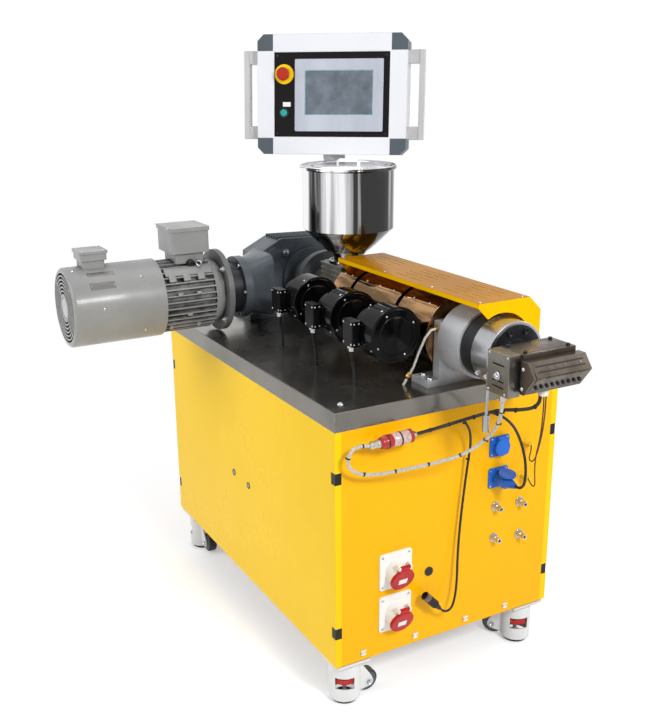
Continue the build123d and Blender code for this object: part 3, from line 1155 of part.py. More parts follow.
# Blue heater supply sockets; the lower one holds a plug with its lid laid on it
supply_upper, supply_lower = SUPPLY_HEIGHTS
with BuildPart() as supply_sockets:
    for height in SUPPLY_HEIGHTS:
        with BuildSketch(facing_front(0, SUPPLY_ACROSS, height)):
            RectangleRounded(SUPPLY_WIDTH, SUPPLY_HEIGHT, 6)
        extrude(amount=SUPPLY_FLANGE)
        with BuildSketch(facing_front(0, SUPPLY_ACROSS, height)):
            Circle(SUPPLY_RADIUS)
        extrude(amount=SUPPLY_LENGTH)
        with BuildSketch(facing_front(3, SUPPLY_ACROSS, height)):
            Circle(SUPPLY_RADIUS - 3)
        extrude(amount=SUPPLY_LENGTH, mode=Mode.SUBTRACT)
        for ear_across in (-14, 9):
            with BuildSketch(facing_operator(0, SUPPLY_ACROSS + ear_across + 5, height)):
                with BuildLine():
                    Polyline(
                        (0, SUPPLY_RADIUS - 8), (SUPPLY_LENGTH - 1, SUPPLY_RADIUS - 8),
                        (SUPPLY_LENGTH - 1, SUPPLY_HINGE_UP - 3.5),
                        (SUPPLY_HINGE_AHEAD + 3, SUPPLY_HINGE_UP - 3),
                        (SUPPLY_HINGE_AHEAD + 3, SUPPLY_HINGE_UP + 3),
                        (SUPPLY_HINGE_AHEAD - 3, SUPPLY_HINGE_UP + 3), (0, SUPPLY_RADIUS), close=True,
                    )
                make_face()
            extrude(amount=5)
        with BuildSketch(facing_operator(0, SUPPLY_ACROSS + 10, height)):
            with Locations((SUPPLY_HINGE_AHEAD, SUPPLY_HINGE_UP)):
                Circle(1.5)
        extrude(amount=20)
    with BuildSketch(facing_front(3.5, SUPPLY_ACROSS, supply_lower)):
        Circle(SUPPLY_RADIUS - 3.5)
    extrude(amount=SUPPLY_LENGTH)
    with BuildSketch(facing_front(SUPPLY_LENGTH + 0.5, SUPPLY_ACROSS, supply_lower)):
        Circle(PLUG_RADIUS)
    extrude(amount=PLUG_BODY - SUPPLY_LENGTH - 0.5)
    with BuildSketch(facing_front(PLUG_BODY, SUPPLY_ACROSS, supply_lower)):
        Circle(PLUG_RADIUS - 3)
    with BuildSketch(facing_front(PLUG_REACH, SUPPLY_ACROSS, supply_lower)):
        Circle(PLUG_TAIL_RADIUS)
    loft()
    droop = radians(PLUG_LID_DROOP)
    hinge = spot(SUPPLY_HINGE_AHEAD, SUPPLY_ACROSS, supply_lower + SUPPLY_HINGE_UP)
    lid_out = Vector(cos(droop), 0, -sin(droop))
    lid_centre = hinge + lid_out * SUPPLY_HINGE_UP
    lid_plane = Plane(origin=lid_centre, x_dir=lid_out, z_dir=(sin(droop), 0, cos(droop)))
    with BuildSketch(lid_plane):
        Circle(SUPPLY_RADIUS + 2)
        with Locations((-SUPPLY_RADIUS - 1, 0)):
            Rectangle(10, 16)
    extrude(amount=SUPPLY_LID_THICKNESS / 2, both=True)
    with BuildSketch(facing_operator(0, SUPPLY_ACROSS + 8, supply_lower)):
        with Locations((SUPPLY_HINGE_AHEAD, SUPPLY_HINGE_UP)):
            Circle(3)
            Circle(1.5, mode=Mode.SUBTRACT)
    extrude(amount=16)
save(supply_sockets, "supply_sockets")

with BuildPart() as supply_lid:
    with BuildSketch(facing_front(SUPPLY_LENGTH + 0.5, SUPPLY_ACROSS, supply_upper)):
        Circle(SUPPLY_RADIUS + 2)
    extrude(amount=SUPPLY_LID_THICKNESS)
    fillet(supply_lid.edges().filter_by(GeomType.CIRCLE), radius=1)
    with BuildSketch(facing_operator(0, SUPPLY_ACROSS + 8, supply_upper)):
        with Locations((SUPPLY_HINGE_AHEAD, SUPPLY_HINGE_UP)):
            Circle(3)
        with BuildLine():
            Polyline(
                (SUPPLY_LENGTH + 1, SUPPLY_RADIUS - 3), (SUPPLY_LENGTH + 4.5, SUPPLY_RADIUS - 3),
                (SUPPLY_HINGE_AHEAD + 3, SUPPLY_HINGE_UP), (SUPPLY_HINGE_AHEAD - 2, SUPPLY_HINGE_UP),
                close=True,
            )
        make_face()
    extrude(amount=16)
    with BuildSketch(facing_operator(0, SUPPLY_ACROSS + 9, supply_upper)):
        with Locations((SUPPLY_HINGE_AHEAD, SUPPLY_HINGE_UP)):
            Circle(1.6)
    extrude(amount=18, mode=Mode.SUBTRACT)
save(supply_lid, "supply_lid_upper")

# Hose couplings and thermocouple jacks on the front panel
with BuildPart() as panel_fittings:
    for across, up in HOSE_COUPLINGS:
        height = PANEL_BOTTOM + up
        with BuildSketch(facing_front(0, across, height)):
            Circle(14)
        extrude(amount=3)
        with BuildSketch(facing_front(0, across, height)):
            RegularPolygon(10.5, 6)
        extrude(amount=14)
        with BuildSketch(facing_front(0, across, height)):
            Circle(7.5)
        extrude(amount=28)
        with BuildSketch(facing_front(0, across, height)):
            Circle(HOSE_BORE)
        extrude(amount=28, mode=Mode.SUBTRACT)
    for across, up in JACKS:
        height = PANEL_BOTTOM + up
        with BuildSketch(facing_front(0, across, height)):
            RectangleRounded(28, 16, 3)
        extrude(amount=3)
        with BuildSketch(facing_front(0, across, height)):
            RectangleRounded(18, 10, 2)
        extrude(amount=JACK_REACH)
    plug_across, plug_up = HOLE_PLUG
    with BuildSketch(facing_front(0, plug_across, PANEL_BOTTOM + plug_up)):
        Circle(13)
    extrude(amount=3)
save(panel_fittings, "panel_fittings")


def arc_radii(points):
    """Radius at each inner point of a route, as large as the two runs beside it allow."""
    radii = []
    for before, here, after in zip(points, points[1:], points[2:]):
        arriving, leaving = here - before, after - here
        half_turn = radians(arriving.get_angle(leaving)) / 2
        radii.append(0.45 * min(arriving.length, leaving.length) / tan(half_turn))
    return radii


def cord_tube(route, diameter, name):
    """Tube of straight runs and tangent arcs along a route of points on the machine."""
    points = [spot(*point) for point in route]
    radii = arc_radii(points)
    with BuildPart() as tube:
        with BuildLine():
            path = FilletPolyline(*points, radius=radii, close=False)
        with BuildSketch(Plane(origin=path @ 0, z_dir=path % 0)) as section:
            Circle(diameter / 2)
        sweep()
    filled = tube.part.volume / (section.sketch.area * path.length)
    print(f"{name}: length {path.length:.0f}, tightest arc {min(radii):.0f}, volume ratio {filled:.4f}")
    return tube


# Cords: loom from the die to the coupling, its return to the terminal box, and what branches off
for name, route, diameter in (
    ("die_cable", DIE_CABLE, DIE_CABLE_DIAMETER),
    ("box_cable", BOX_CABLE, BOX_CABLE_DIAMETER),
    ("hanging_cable", HANGING_CABLE, HANGING_CABLE_DIAMETER),
    ("supply_cable", SUPPLY_CABLE, SUPPLY_CABLE_DIAMETER),
):
    save(cord_tube(route, diameter, name), name)

with BuildPart() as thermocouple_leads:
    add(cord_tube(UPPER_LEAD, LEAD_DIAMETER, "upper lead").part)
    add(cord_tube(LOWER_LEAD, LEAD_DIAMETER, "lower lead").part)
save(thermocouple_leads, "thermocouple_leads")

gland_bottom = blower_z - box_height / 2 - 16
with BuildPart() as blower_leads:
    for face in BLOWER_FACES:
        lead_route = [
            (-face - box_behind, box_across + sideways, gland_bottom - down) for sideways, down in BLOWER_LEAD
        ]
        add(cord_tube(lead_route, BLOWER_LEAD_DIAMETER, "blower lead").part)
save(blower_leads, "blower_leads")

# Coupling between the two halves of the loom, and the plug on the hanging cable
with BuildPart() as cable_fittings:
    for ends, radius in (
        (CONNECTOR[:2], CONNECTOR_RADIUS), (CONNECTOR[1:], CONNECTOR_NECK_RADIUS),
        (HANGING_PLUG[:2], 0.7 * HANGING_PLUG_RADIUS), (HANGING_PLUG[1:], HANGING_PLUG_RADIUS),
    ):
        start, end = spot(*ends[0]), spot(*ends[1])
        with BuildSketch(Plane(origin=start, z_dir=end - start)):
            Circle(radius)
        extrude(amount=(end - start).length)
save(cable_fittings, "cable_fittings")
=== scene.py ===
"""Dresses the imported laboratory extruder: finishes for its solids, and the small pieces that ride on them."""

import json
import logging
from dataclasses import dataclass, field, replace
from enum import Enum
from functools import partial
from math import atan2, cos, degrees, pi, radians, sin
from typing import Any, Iterable, Optional, Sequence

import bmesh
import bpy
from mathutils import Matrix, Vector

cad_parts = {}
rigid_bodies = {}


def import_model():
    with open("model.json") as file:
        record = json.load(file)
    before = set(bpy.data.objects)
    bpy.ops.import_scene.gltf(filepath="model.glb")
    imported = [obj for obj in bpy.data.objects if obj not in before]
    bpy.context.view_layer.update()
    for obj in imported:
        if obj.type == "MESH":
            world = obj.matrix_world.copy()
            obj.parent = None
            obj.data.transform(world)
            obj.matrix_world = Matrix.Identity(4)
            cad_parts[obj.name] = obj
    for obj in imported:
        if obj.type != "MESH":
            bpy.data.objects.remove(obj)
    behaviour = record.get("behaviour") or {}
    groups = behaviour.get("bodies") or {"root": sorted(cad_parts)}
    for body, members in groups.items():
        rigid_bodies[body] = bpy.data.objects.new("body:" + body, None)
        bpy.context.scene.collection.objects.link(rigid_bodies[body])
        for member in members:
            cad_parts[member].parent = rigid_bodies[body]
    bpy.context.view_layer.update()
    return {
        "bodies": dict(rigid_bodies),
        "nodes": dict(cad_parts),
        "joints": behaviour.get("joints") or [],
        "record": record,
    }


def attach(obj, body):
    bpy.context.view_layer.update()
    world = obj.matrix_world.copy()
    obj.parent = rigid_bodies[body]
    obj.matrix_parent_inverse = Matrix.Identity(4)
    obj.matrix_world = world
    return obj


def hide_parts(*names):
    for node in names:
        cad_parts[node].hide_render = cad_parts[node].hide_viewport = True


Shape = bmesh.types.BMesh
Thing = bpy.types.Object
Tree = bpy.types.NodeTree
Pair = tuple[float, float]
Pairs = tuple[Pair, ...]
Triple = tuple[float, float, float]

LOG = logging.getLogger("extruder")
MM = 0.001
AHEAD = Vector((1.0, 0.0, 0.0))
ACROSS = Vector((0.0, 1.0, 0.0))
UP = Vector((0.0, 0.0, 1.0))
CORNERS = ((-1, -1), (-1, 1), (1, -1), (1, 1))
ORIGIN_AHEAD = 403.0
ORIGIN_ACROSS = -147.5
TABLE_TOP = 855.0
AXIS_ACROSS = 422.0
AXIS_HEIGHT = 978.0
BLOWER_FACES = (500.0, 290.0, 80.0)
SHARP_EDGE = 35.0
DOUBLES = 1e-6


def spot(ahead: float, across: float, height: float) -> Vector:
    """Turns millimetres ahead of the front panel, across and above the floor into row-frame metres."""
    return Vector(((ORIGIN_AHEAD + ahead) * MM, (ORIGIN_ACROSS + across) * MM, height * MM))


def polar(angle: float, right: Vector = ACROSS, up: Vector = UP) -> Vector:
    """Direction at an angle in degrees from one axis towards another."""
    return right * cos(radians(angle)) + up * sin(radians(angle))


def around(count: int, first: float, right: Vector = ACROSS, up: Vector = UP) -> list[Vector]:
    """Directions at equal turns round a circle, from a first angle in degrees."""
    return [polar(360 / count * turn + first, right, up) for turn in range(count)]


def off_axis(ahead: float, angle: float, reach: float) -> Vector:
    """Place off the barrel's axis in millimetres, at an angle in degrees from straight across."""
    return spot(ahead, AXIS_ACROSS, AXIS_HEIGHT) + polar(angle) * (reach * MM)


def linear(colour: Sequence[int], shade: float = 1.0) -> tuple[float, float, float, float]:
    """Turns a display colour into the linear RGBA that shaders take.

    Args:
        colour: Red, green and blue, each 0 to 255.
        shade: How much darker the result is, 1 being no darker.

    Returns:
        Linear RGBA with full alpha.
    """
    parts = [c / 255.0 for c in colour]
    lit = [p / 12.92 if p <= 0.04045 else ((p + 0.055) / 1.055) ** 2.4 for p in parts]
    return tuple(p * shade for p in lit) + (1.0,)


class Grain(Enum):
    """How a surface was made, with the detail of its fine relief."""

    COATED = ("coated", 1.5)
    BRUSHED = ("brushed", 4.0)
    CAST = ("cast", 8.0)
    MOULDED = ("moulded", 3.0)
    BRAIDED = ("braided", 2.0)


@dataclass(frozen=True)
class Patch:
    """A box-shaped region of a solid that is made of something else; the one on the guard's top is painted
    reflection instead.

    Args:
        low: Lowest corner, in ahead, across and height millimetres.
        high: Highest corner, in the same millimetres.
        colour: Display colour inside the region.
        metallic: Metallic value inside it.
        roughness: Roughness inside it.
    """

    low: Triple
    high: Triple
    colour: tuple[int, int, int]
    metallic: float = 0.0
    roughness: float = 0.5


@dataclass(frozen=True)
class Finish:
    """A surface finish, and the recipe of its material.

    Args:
        name: Name of the material.
        slot: Material slot of the record that it belongs to.
        colour: Display colour of the clean surface.
        grain: How the surface was made.
        metallic: Metallic value of the clean surface.
        roughness: Middle roughness.
        spread: How far the roughness strays from the middle.
        shade: How much darker the mottled places are, 1 being no darker.
        mottle: Mottled places per metre.
        fineness: Marks of the grain per metre.
        stretch: How the brushing is drawn out, as a scale along each axis.
        relief: Strength of the grain's bump.
        wear: How much of an edge is rubbed bare.
        bare: Display colour of the rubbed edges.
        bare_metal: Metallic value of the rubbed edges.
        dust: How much dust lies on upward faces.
        coat: Weight of a clear coat.
        specular: Strength of the plain reflection at normal view.
        grime: How dark the painted shade in recesses is.
        drawn: How the mottled places are drawn out, as a scale along each axis.
        band: Noise values between which the mottle goes from clean to deep.
        soft_edge: Radius in metres of the rounded look of edges.
        patches: Regions of another colour.
    """

    name: str
    slot: str
    colour: tuple[int, int, int]
    grain: Grain = Grain.MOULDED
    metallic: float = 0.0
    roughness: float = 0.45
    spread: float = 0.1
    shade: float = 0.85
    mottle: float = 9.0
    fineness: float = 900.0
    stretch: Triple = (1.0, 1.0, 1.0)
    relief: float = 0.12
    wear: float = 0.25
    bare: tuple[int, int, int] = (188, 188, 186)
    bare_metal: float = 0.0
    dust: float = 0.08
    coat: float = 0.0
    specular: float = 0.4
    grime: float = 0.0
    drawn: Triple = (1.0, 1.0, 1.0)
    band: Pair = (0.33, 0.68)
    soft_edge: float = 0.0012
    patches: tuple[Patch, ...] = ()


def add_node(tree: Tree, kind: str, inputs: Optional[dict] = None, **settings: Any) -> Any:
    """Adds a shader node and fills its sockets.

    Args:
        tree: Node tree that takes the node.
        kind: Node type without the ShaderNode prefix.
        inputs: Socket name or number against a value or the socket that feeds it.
        settings: Attributes of the node itself.

    Returns:
        The new node.
    """
    node = tree.nodes.new("ShaderNode" + kind)
    for name, value in settings.items():
        setattr(node, name, value)
    for name, value in (inputs or {}).items():
        if isinstance(value, bpy.types.NodeSocket):
            tree.links.new(value, node.inputs[name])
        else:
            node.inputs[name].default_value = value
    return node


def blank_tree(owner: Any) -> Tree:
    """Empties the node tree of a material or world, and gives it.

    Args:
        owner: Material or world that has the tree.

    Returns:
        The empty tree.
    """
    owner.use_nodes = True
    owner.node_tree.nodes.clear()
    return owner.node_tree


def compute(tree: Tree, operation: str, *values: Any, **settings: Any) -> Any:
    """Works out a number from others and gives its socket."""
    return add_node(tree, "Math", dict(enumerate(values)), operation=operation, **settings).outputs[0]


def combine(tree: Tree, operation: str, *values: Any) -> Any:
    """Works out a vector from others and gives the node."""
    return add_node(tree, "VectorMath", dict(enumerate(values)), operation=operation)


def remap(tree: Tree, value: Any, low: Any, high: Any) -> Any:
    """Stretches the range between two values to 0 and 1 and gives the socket."""
    return add_node(tree, "MapRange", {"Value": value, "From Min": low, "From Max": high}).outputs[0]


def noise(tree: Tree, place: Any, scale: Any, detail: float, roughness: float = 0.5) -> Any:
    """Adds a noise texture and gives the socket of its value."""
    inputs = {"Vector": place, "Scale": scale, "Detail": detail, "Roughness": roughness}
    return add_node(tree, "TexNoise", inputs).outputs[0]


def blend(tree: Tree, factor: Any, first: Any, second: Any) -> Any:
    """Mixes two numbers by a mask and gives the socket of the result."""
    return add_node(tree, "Mix", {0: factor, 2: first, 3: second}, data_type="FLOAT").outputs[0]


def tint(tree: Tree, factor: Any, first: Any, second: Any) -> Any:
    """Mixes two colours by a mask and gives the socket of the result."""
    return add_node(tree, "Mix", {0: factor, 6: first, 7: second}, data_type="RGBA").outputs[2]


class Effects:
    """Shader effects that several finishes share, each one node group that is built once."""

    PLACE_AND_AMOUNT = {"Vector": "Vector", "Amount": "Float"}

    def __init__(self) -> None:
        """Builds the shared groups."""
        self.mottle = self._mottle()
        self.edge = self._edge()
        self.dust = self._dust()
        self.grime = self._grime()
        self.region = self._region()
        self.grains = {grain: self._grain(grain) for grain in Grain}

    @staticmethod
    def _group(name: str, inputs: dict[str, str], outputs: dict[str, str]) -> tuple[Tree, Any, Any]:
        """Starts a node group.

        Args:
            name: Name of the group.
            inputs: Name and socket kind of each input.
            outputs: Name and socket kind of each output.

        Returns:
            The tree, the sockets that it is given and those that it puts out.
        """
        tree = bpy.data.node_groups.new(name, "ShaderNodeTree")
        for way, sockets in (("INPUT", inputs), ("OUTPUT", outputs)):
            for label, kind in sockets.items():
                tree.interface.new_socket(name=label, in_out=way, socket_type="NodeSocket" + kind)
        return tree, tree.nodes.new("NodeGroupInput").outputs, tree.nodes.new("NodeGroupOutput").inputs

    def _mottle(self) -> Tree:
        """Uneven colour and sheen, as on paint, rolled sheet or mouldings; with strong contrast on the hopper,
        heater covers and screen it is painted reflection.

        Returns:
            The group, which puts out a colour and how deep it is.
        """
        tree, given, made = self._group(
            "Uneven tone and painted reflection",
            {"Vector": "Vector", "Colour": "Color", "Deep": "Color", "Scale": "Float", "Stretch": "Vector",
             "Low": "Float", "High": "Float"},
            {"Colour": "Color", "Value": "Float"},
        )
        drawn = combine(tree, "MULTIPLY", given["Vector"], given["Stretch"]).outputs[0]
        spread = remap(tree, noise(tree, drawn, given["Scale"], 5.0, 0.6), given["Low"], given["High"])
        tree.links.new(tint(tree, spread, given["Colour"], given["Deep"]), made["Colour"])
        tree.links.new(spread, made["Value"])
        return tree

    def _edge(self) -> Tree:
        """Rounded-edge normal, and a mask of the edges that handling has rubbed.

        Returns:
            The group, which puts out the mask and the normal.
        """
        tree, given, made = self._group(
            "Rubbed edges", {"Vector": "Vector", "Radius": "Float", "Amount": "Float"},
            {"Mask": "Float", "Normal": "Vector"},
        )
        bevel = add_node(tree, "Bevel", {"Radius": given["Radius"]}, samples=4).outputs[0]
        flat = add_node(tree, "NewGeometry").outputs["Normal"]
        turned = remap(tree, combine(tree, "DOT_PRODUCT", bevel, flat).outputs["Value"], 0.985, 0.8)
        rubbed = remap(tree, noise(tree, given["Vector"], 55.0, 6.0), 0.42, 0.66)
        both = compute(tree, "MULTIPLY", turned, rubbed)
        tree.links.new(compute(tree, "MULTIPLY", both, given["Amount"], use_clamp=True), made["Mask"])
        tree.links.new(bevel, made["Normal"])
        return tree

    def _dust(self) -> Tree:
        """Mask of the thin dust that settles on upward faces.

        Returns:
            The group, which puts out the mask.
        """
        tree, given, made = self._group("Settled dust", self.PLACE_AND_AMOUNT, {"Mask": "Float"})
        normal = add_node(tree, "NewGeometry").outputs["Normal"]
        upward = remap(tree, add_node(tree, "SeparateXYZ", {0: normal}).outputs[2], 0.5, 1.0)
        patchy = remap(tree, noise(tree, given["Vector"], 24.0, 8.0), 0.4, 0.75)
        both = compute(tree, "MULTIPLY", upward, patchy)
        tree.links.new(compute(tree, "MULTIPLY", both, given["Amount"]), made["Mask"])
        return tree

    def _grime(self) -> Tree:
        """Mask of painted shade in recesses: ambient occlusion darkens creases, hollows and faces under other
        parts, broken up by noise.

        Returns:
            The group, which puts out the mask.
        """
        tree, given, made = self._group("Gathered grime", self.PLACE_AND_AMOUNT, {"Mask": "Float"})
        open_air = add_node(tree, "AmbientOcclusion", {"Distance": 0.03}, samples=6).outputs["AO"]
        shut = remap(tree, open_air, 0.75, 0.25)
        patchy = remap(tree, noise(tree, given["Vector"], 30.0, 5.0), 0.2, 0.6)
        both = compute(tree, "MULTIPLY", shut, patchy)
        tree.links.new(compute(tree, "MULTIPLY", both, given["Amount"]), made["Mask"])
        return tree

    def _region(self) -> Tree:
        """Mask that is 1 inside a box round a centre.

        Returns:
            The group, which puts out the mask.
        """
        sockets = {"Vector": "Vector", "Centre": "Vector", "Half": "Vector"}
        tree, given, made = self._group("Region", sockets, {"Mask": "Float"})
        away = combine(tree, "SUBTRACT", given["Vector"], given["Centre"]).outputs[0]
        scaled = combine(tree, "DIVIDE", away, given["Half"]).outputs[0]
        size = combine(tree, "ABSOLUTE", scaled).outputs[0]
        parts = add_node(tree, "SeparateXYZ", {0: size}).outputs
        most = compute(tree, "MAXIMUM", compute(tree, "MAXIMUM", parts[0], parts[1]), parts[2])
        tree.links.new(compute(tree, "LESS_THAN", most, 1.0), made["Mask"])
        return tree

    def _grain(self, grain: Grain) -> Tree:
        """Height of the fine relief of one kind of surface.

        Args:
            grain: Kind of surface.

        Returns:
            The group, which puts out a height for a bump.
        """
        label, detail = grain.value
        sockets = {"Vector": "Vector", "Stretch": "Vector", "Fineness": "Float"}
        tree, given, made = self._group(f"Grain {label}", sockets, {"Height": "Float"})
        drawn = combine(tree, "MULTIPLY", given["Vector"], given["Stretch"]).outputs[0]
        height = noise(tree, drawn, given["Fineness"], detail, 0.62)
        if grain in (Grain.CAST, Grain.BRAIDED):
            cells = add_node(tree, "TexVoronoi", {"Vector": drawn, "Scale": given["Fineness"]})
            height = compute(tree, "ADD", height, cells.outputs["Distance"])
        tree.links.new(height, made["Height"])
        return tree


class PaintShop:
    """Mixes each finish into one material and keeps it."""

    DUST = (196, 192, 184)
    # Colour of the painted shade in recesses.
    RECESS_SHADE_COLOUR = (30, 28, 26)

    def __init__(self) -> None:
        """Makes the shared effects ready."""
        self.effects = Effects()
        self.materials: dict[str, bpy.types.Material] = {}

    def material(self, finish: Finish) -> bpy.types.Material:
        """Gives the material of a finish, made on its first use.

        Args:
            finish: Finish to mix.

        Returns:
            Its material.
        """
        if finish.name not in self.materials:
            self.materials[finish.name] = self._mix(finish)
        return self.materials[finish.name]

    def _mix(self, finish: Finish) -> bpy.types.Material:
        """Builds the node tree of one finish.

        Args:
            finish: Finish to mix.

        Returns:
            The new material.
        """
        material = bpy.data.materials.new(finish.name)
        tree = blank_tree(material)
        place = add_node(tree, "TexCoord").outputs["Object"]

        def use(group: Tree, **inputs: Any) -> Any:
            """Places a shared group and gives its sockets."""
            return add_node(tree, "Group", {"Vector": place, **inputs}, node_tree=group).outputs

        clean, deep = linear(finish.colour), linear(finish.colour, finish.shade)
        mottle = use(self.effects.mottle, Colour=clean, Deep=deep, Scale=finish.mottle, Stretch=finish.drawn,
                     Low=finish.band[0], High=finish.band[1])
        edge = use(self.effects.edge, Radius=finish.soft_edge, Amount=finish.wear)
        grain = use(self.effects.grains[finish.grain], Stretch=finish.stretch, Fineness=finish.fineness)
        colour = mottle["Colour"]
        rough = add_node(tree, "MapRange", {
            "Value": mottle["Value"], "To Min": max(0.03, finish.roughness - finish.spread),
            "To Max": min(1.0, finish.roughness + finish.spread)}).outputs[0]
        metal: Any = finish.metallic
        for patch in finish.patches:
            low, high = spot(*patch.low), spot(*patch.high)
            region = use(self.effects.region, Centre=(low + high) / 2, Half=(high - low) / 2)["Mask"]
            uneven = tint(tree, mottle["Value"], linear(patch.colour), linear(patch.colour, 0.8))
            colour = tint(tree, region, colour, uneven)
            rough = blend(tree, region, rough, patch.roughness)
            metal = blend(tree, region, metal, patch.metallic)
        colour = tint(tree, edge["Mask"], colour, linear(finish.bare))
        if finish.bare_metal != finish.metallic:
            metal = blend(tree, edge["Mask"], metal, finish.bare_metal)
        # Dust is settled dirt on upward faces; grime is painted shade in recesses.
        for amount, group, dust_and_shade_colour, dull in ((finish.dust, self.effects.dust, self.DUST, 0.75),
                                           (finish.grime, self.effects.grime, self.RECESS_SHADE_COLOUR, 0.8)):
            if amount > 0.0:
                mask = use(group, Amount=amount)["Mask"]
                colour = tint(tree, mask, colour, linear(dust_and_shade_colour))
                rough = blend(tree, mask, rough, dull)
        bump = add_node(tree, "Bump", {"Height": grain["Height"], "Strength": finish.relief,
                                       "Distance": 0.0004, "Normal": edge["Normal"]})
        shader = add_node(tree, "BsdfPrincipled", {
            "Base Color": colour, "Roughness": rough, "Metallic": metal, "Coat Weight": finish.coat,
            "Coat Roughness": 0.08, "Specular IOR Level": finish.specular, "Normal": bump.outputs[0]})
        add_node(tree, "OutputMaterial", {"Surface": shader.outputs[0]})
        return material


# Finishes with grime above 0 get painted shade in their recesses.
coated = partial(
    Finish, grain=Grain.COATED, roughness=0.4, spread=0.05, fineness=420.0, wear=0.12, dust=0.0)
brushed = partial(
    Finish, grain=Grain.BRUSHED, metallic=1.0, roughness=0.3, spread=0.08, shade=0.8, fineness=500.0,
    relief=0.08, wear=0.4, bare=(245, 245, 245), bare_metal=1.0)
cast = partial(
    Finish, grain=Grain.CAST, roughness=0.4, mottle=16.0, fineness=240.0, relief=0.35, wear=0.5)
moulded = partial(Finish, roughness=0.3, shade=0.8, wear=0.2)
braided = partial(Finish, grain=Grain.BRAIDED, relief=0.6, wear=0.0)

YELLOW_SIDE = coated(
    "yellow_side_coat", "yellow_paint", (253, 207, 8), roughness=0.3, shade=0.94, mottle=2.0, relief=0.05,
    bare=(226, 190, 90), specular=0.12)
YELLOW_SHEET = coated(
    "yellow_front_coat", "yellow_sheet", (251, 184, 4), roughness=0.28, shade=0.94, mottle=2.0, relief=0.05,
    bare=(226, 186, 80), specular=0.15)
# Guard: the darker amber box on its top is painted reflection, the dark surroundings mirrored in the glossy top
# at a grazing view.
GUARD_COAT = coated(
    "yellow_guard_coat", "yellow_sheet", (252, 190, 6), roughness=0.2, spread=0.06, shade=0.9, mottle=6.0,
    relief=0.04, wear=0.2, bare=(250, 220, 120), specular=0.02,
    patches=(Patch((-590, 346, 1104), (102, 508, 1106), (192, 128, 14), 0.0, 0.12),))
FRAME_COAT = coated(
    "frame_coat", "frame_paint", (222, 222, 218), spread=0.1, fineness=500.0, wear=0.3, bare=(150, 150, 150),
    bare_metal=1.0, dust=0.08)
MOTOR_ENAMEL = coated(
    "motor_enamel", "motor_paint", (152, 152, 150), roughness=0.33, spread=0.07, shade=0.84, mottle=8.0,
    fineness=380.0, relief=0.15, wear=0.8, bare=(206, 206, 204), dust=0.05, coat=0.1, specular=0.3,
    grime=0.95, patches=(Patch((-1000, 55, 850), (-735, 74, 1120), (112, 112, 111), 0.1, 0.45),))
BLOWER_BLACK = coated(
    "blower_lacquer", "black_plastic", (6, 6, 7), roughness=0.13, shade=0.7, fineness=300.0, relief=0.04,
    wear=0.1, bare=(60, 60, 62), specular=0.16)
BOX_COAT = coated(
    "box_profile_coat", "box_aluminium", (224, 225, 229), roughness=0.33, shade=0.96, mottle=6.0,
    fineness=500.0, relief=0.05, wear=0.15, bare=(204, 204, 206), soft_edge=0.004)
PANEL_BLACK = coated(
    "panel_sheet", "panel_black", (18, 15, 15), spread=0.1, mottle=12.0, fineness=600.0, wear=0.2,
    bare=(80, 80, 80), specular=0.14)
TABLE_STEEL = brushed(
    "table_sheet", "table_steel", (138, 134, 127), metallic=0.9, roughness=0.24, spread=0.09, shade=0.7,
    mottle=5.0, fineness=260.0, stretch=(0.02, 1.0, 1.0), relief=0.06, wear=0.7, bare=(225, 223, 218),
    dust=0.06, soft_edge=0.003)
# Hopper: the strong drawn-out streaks, bright and dark, are painted reflection of the surroundings in the
# polished steel.
HOPPER_STEEL = brushed(
    "hopper_sheet", "hopper_steel", (246, 246, 248), roughness=0.07, spread=0.03, shade=0.05,
    stretch=(0.03, 0.03, 1.0), relief=0.03, wear=0.2, dust=0.0, drawn=(1.0, 1.0, 0.02), band=(0.46, 0.56))
LID_STEEL = brushed(
    "lid_sheet", "hopper_steel", (246, 246, 248), roughness=0.12, spread=0.03, shade=0.72,
    stretch=(0.03, 0.03, 1.0), relief=0.03, wear=0.2, dust=0.0)
# Heater covers: the copper-brown colour is painted reflection of the yellow guard above them, the drawn-out
# bright and dark bands are painted highlight and reflection, and grime adds painted shade under the guard.
COVER_STEEL = brushed(
    "cover_sheet", "cover_steel", (188, 146, 102), roughness=0.09, spread=0.05, shade=0.3, fineness=300.0,
    stretch=(0.05, 1.0, 1.0), relief=0.04, wear=0.5, bare=(240, 238, 233), dust=0.0, grime=0.15,
    drawn=(0.3, 1.6, 1.6), band=(0.44, 0.56))
BRIGHT_STEEL = brushed(
    "ground_steel", "bright_steel", (186, 187, 190), roughness=0.26, mottle=14.0, stretch=(1.0, 0.2, 0.2),
    bare=(230, 230, 230))
ZINC = brushed(
    "zinc_plate", "bright_steel", (196, 198, 202), spread=0.12, mottle=60.0, fineness=600.0, relief=0.1,
    bare=(235, 235, 235))
NICKEL = brushed(
    "nickel_plate", "fitting_nickel", (204, 202, 196), roughness=0.16, mottle=60.0, relief=0.05, wear=0.3,
    bare=(240, 240, 238))
FITTINGS = replace(
    NICKEL, name="panel_fitting_mix", patches=(
        Patch((-1, 580, 650), (34, 622, 672), (236, 196, 28), 0.0, 0.35),
        Patch((-1, 576, 552), (34, 618, 574), (236, 196, 28), 0.0, 0.35),
        Patch((-1, 276, 334), (5, 304, 362), (24, 24, 25), 0.0, 0.45),
    ))
BRASS = brushed(
    "brass", "fitting_nickel", (196, 158, 92), roughness=0.28, spread=0.1, shade=0.75, mottle=60.0,
    fineness=900.0, relief=0.06, wear=0.3, bare=(226, 196, 140))
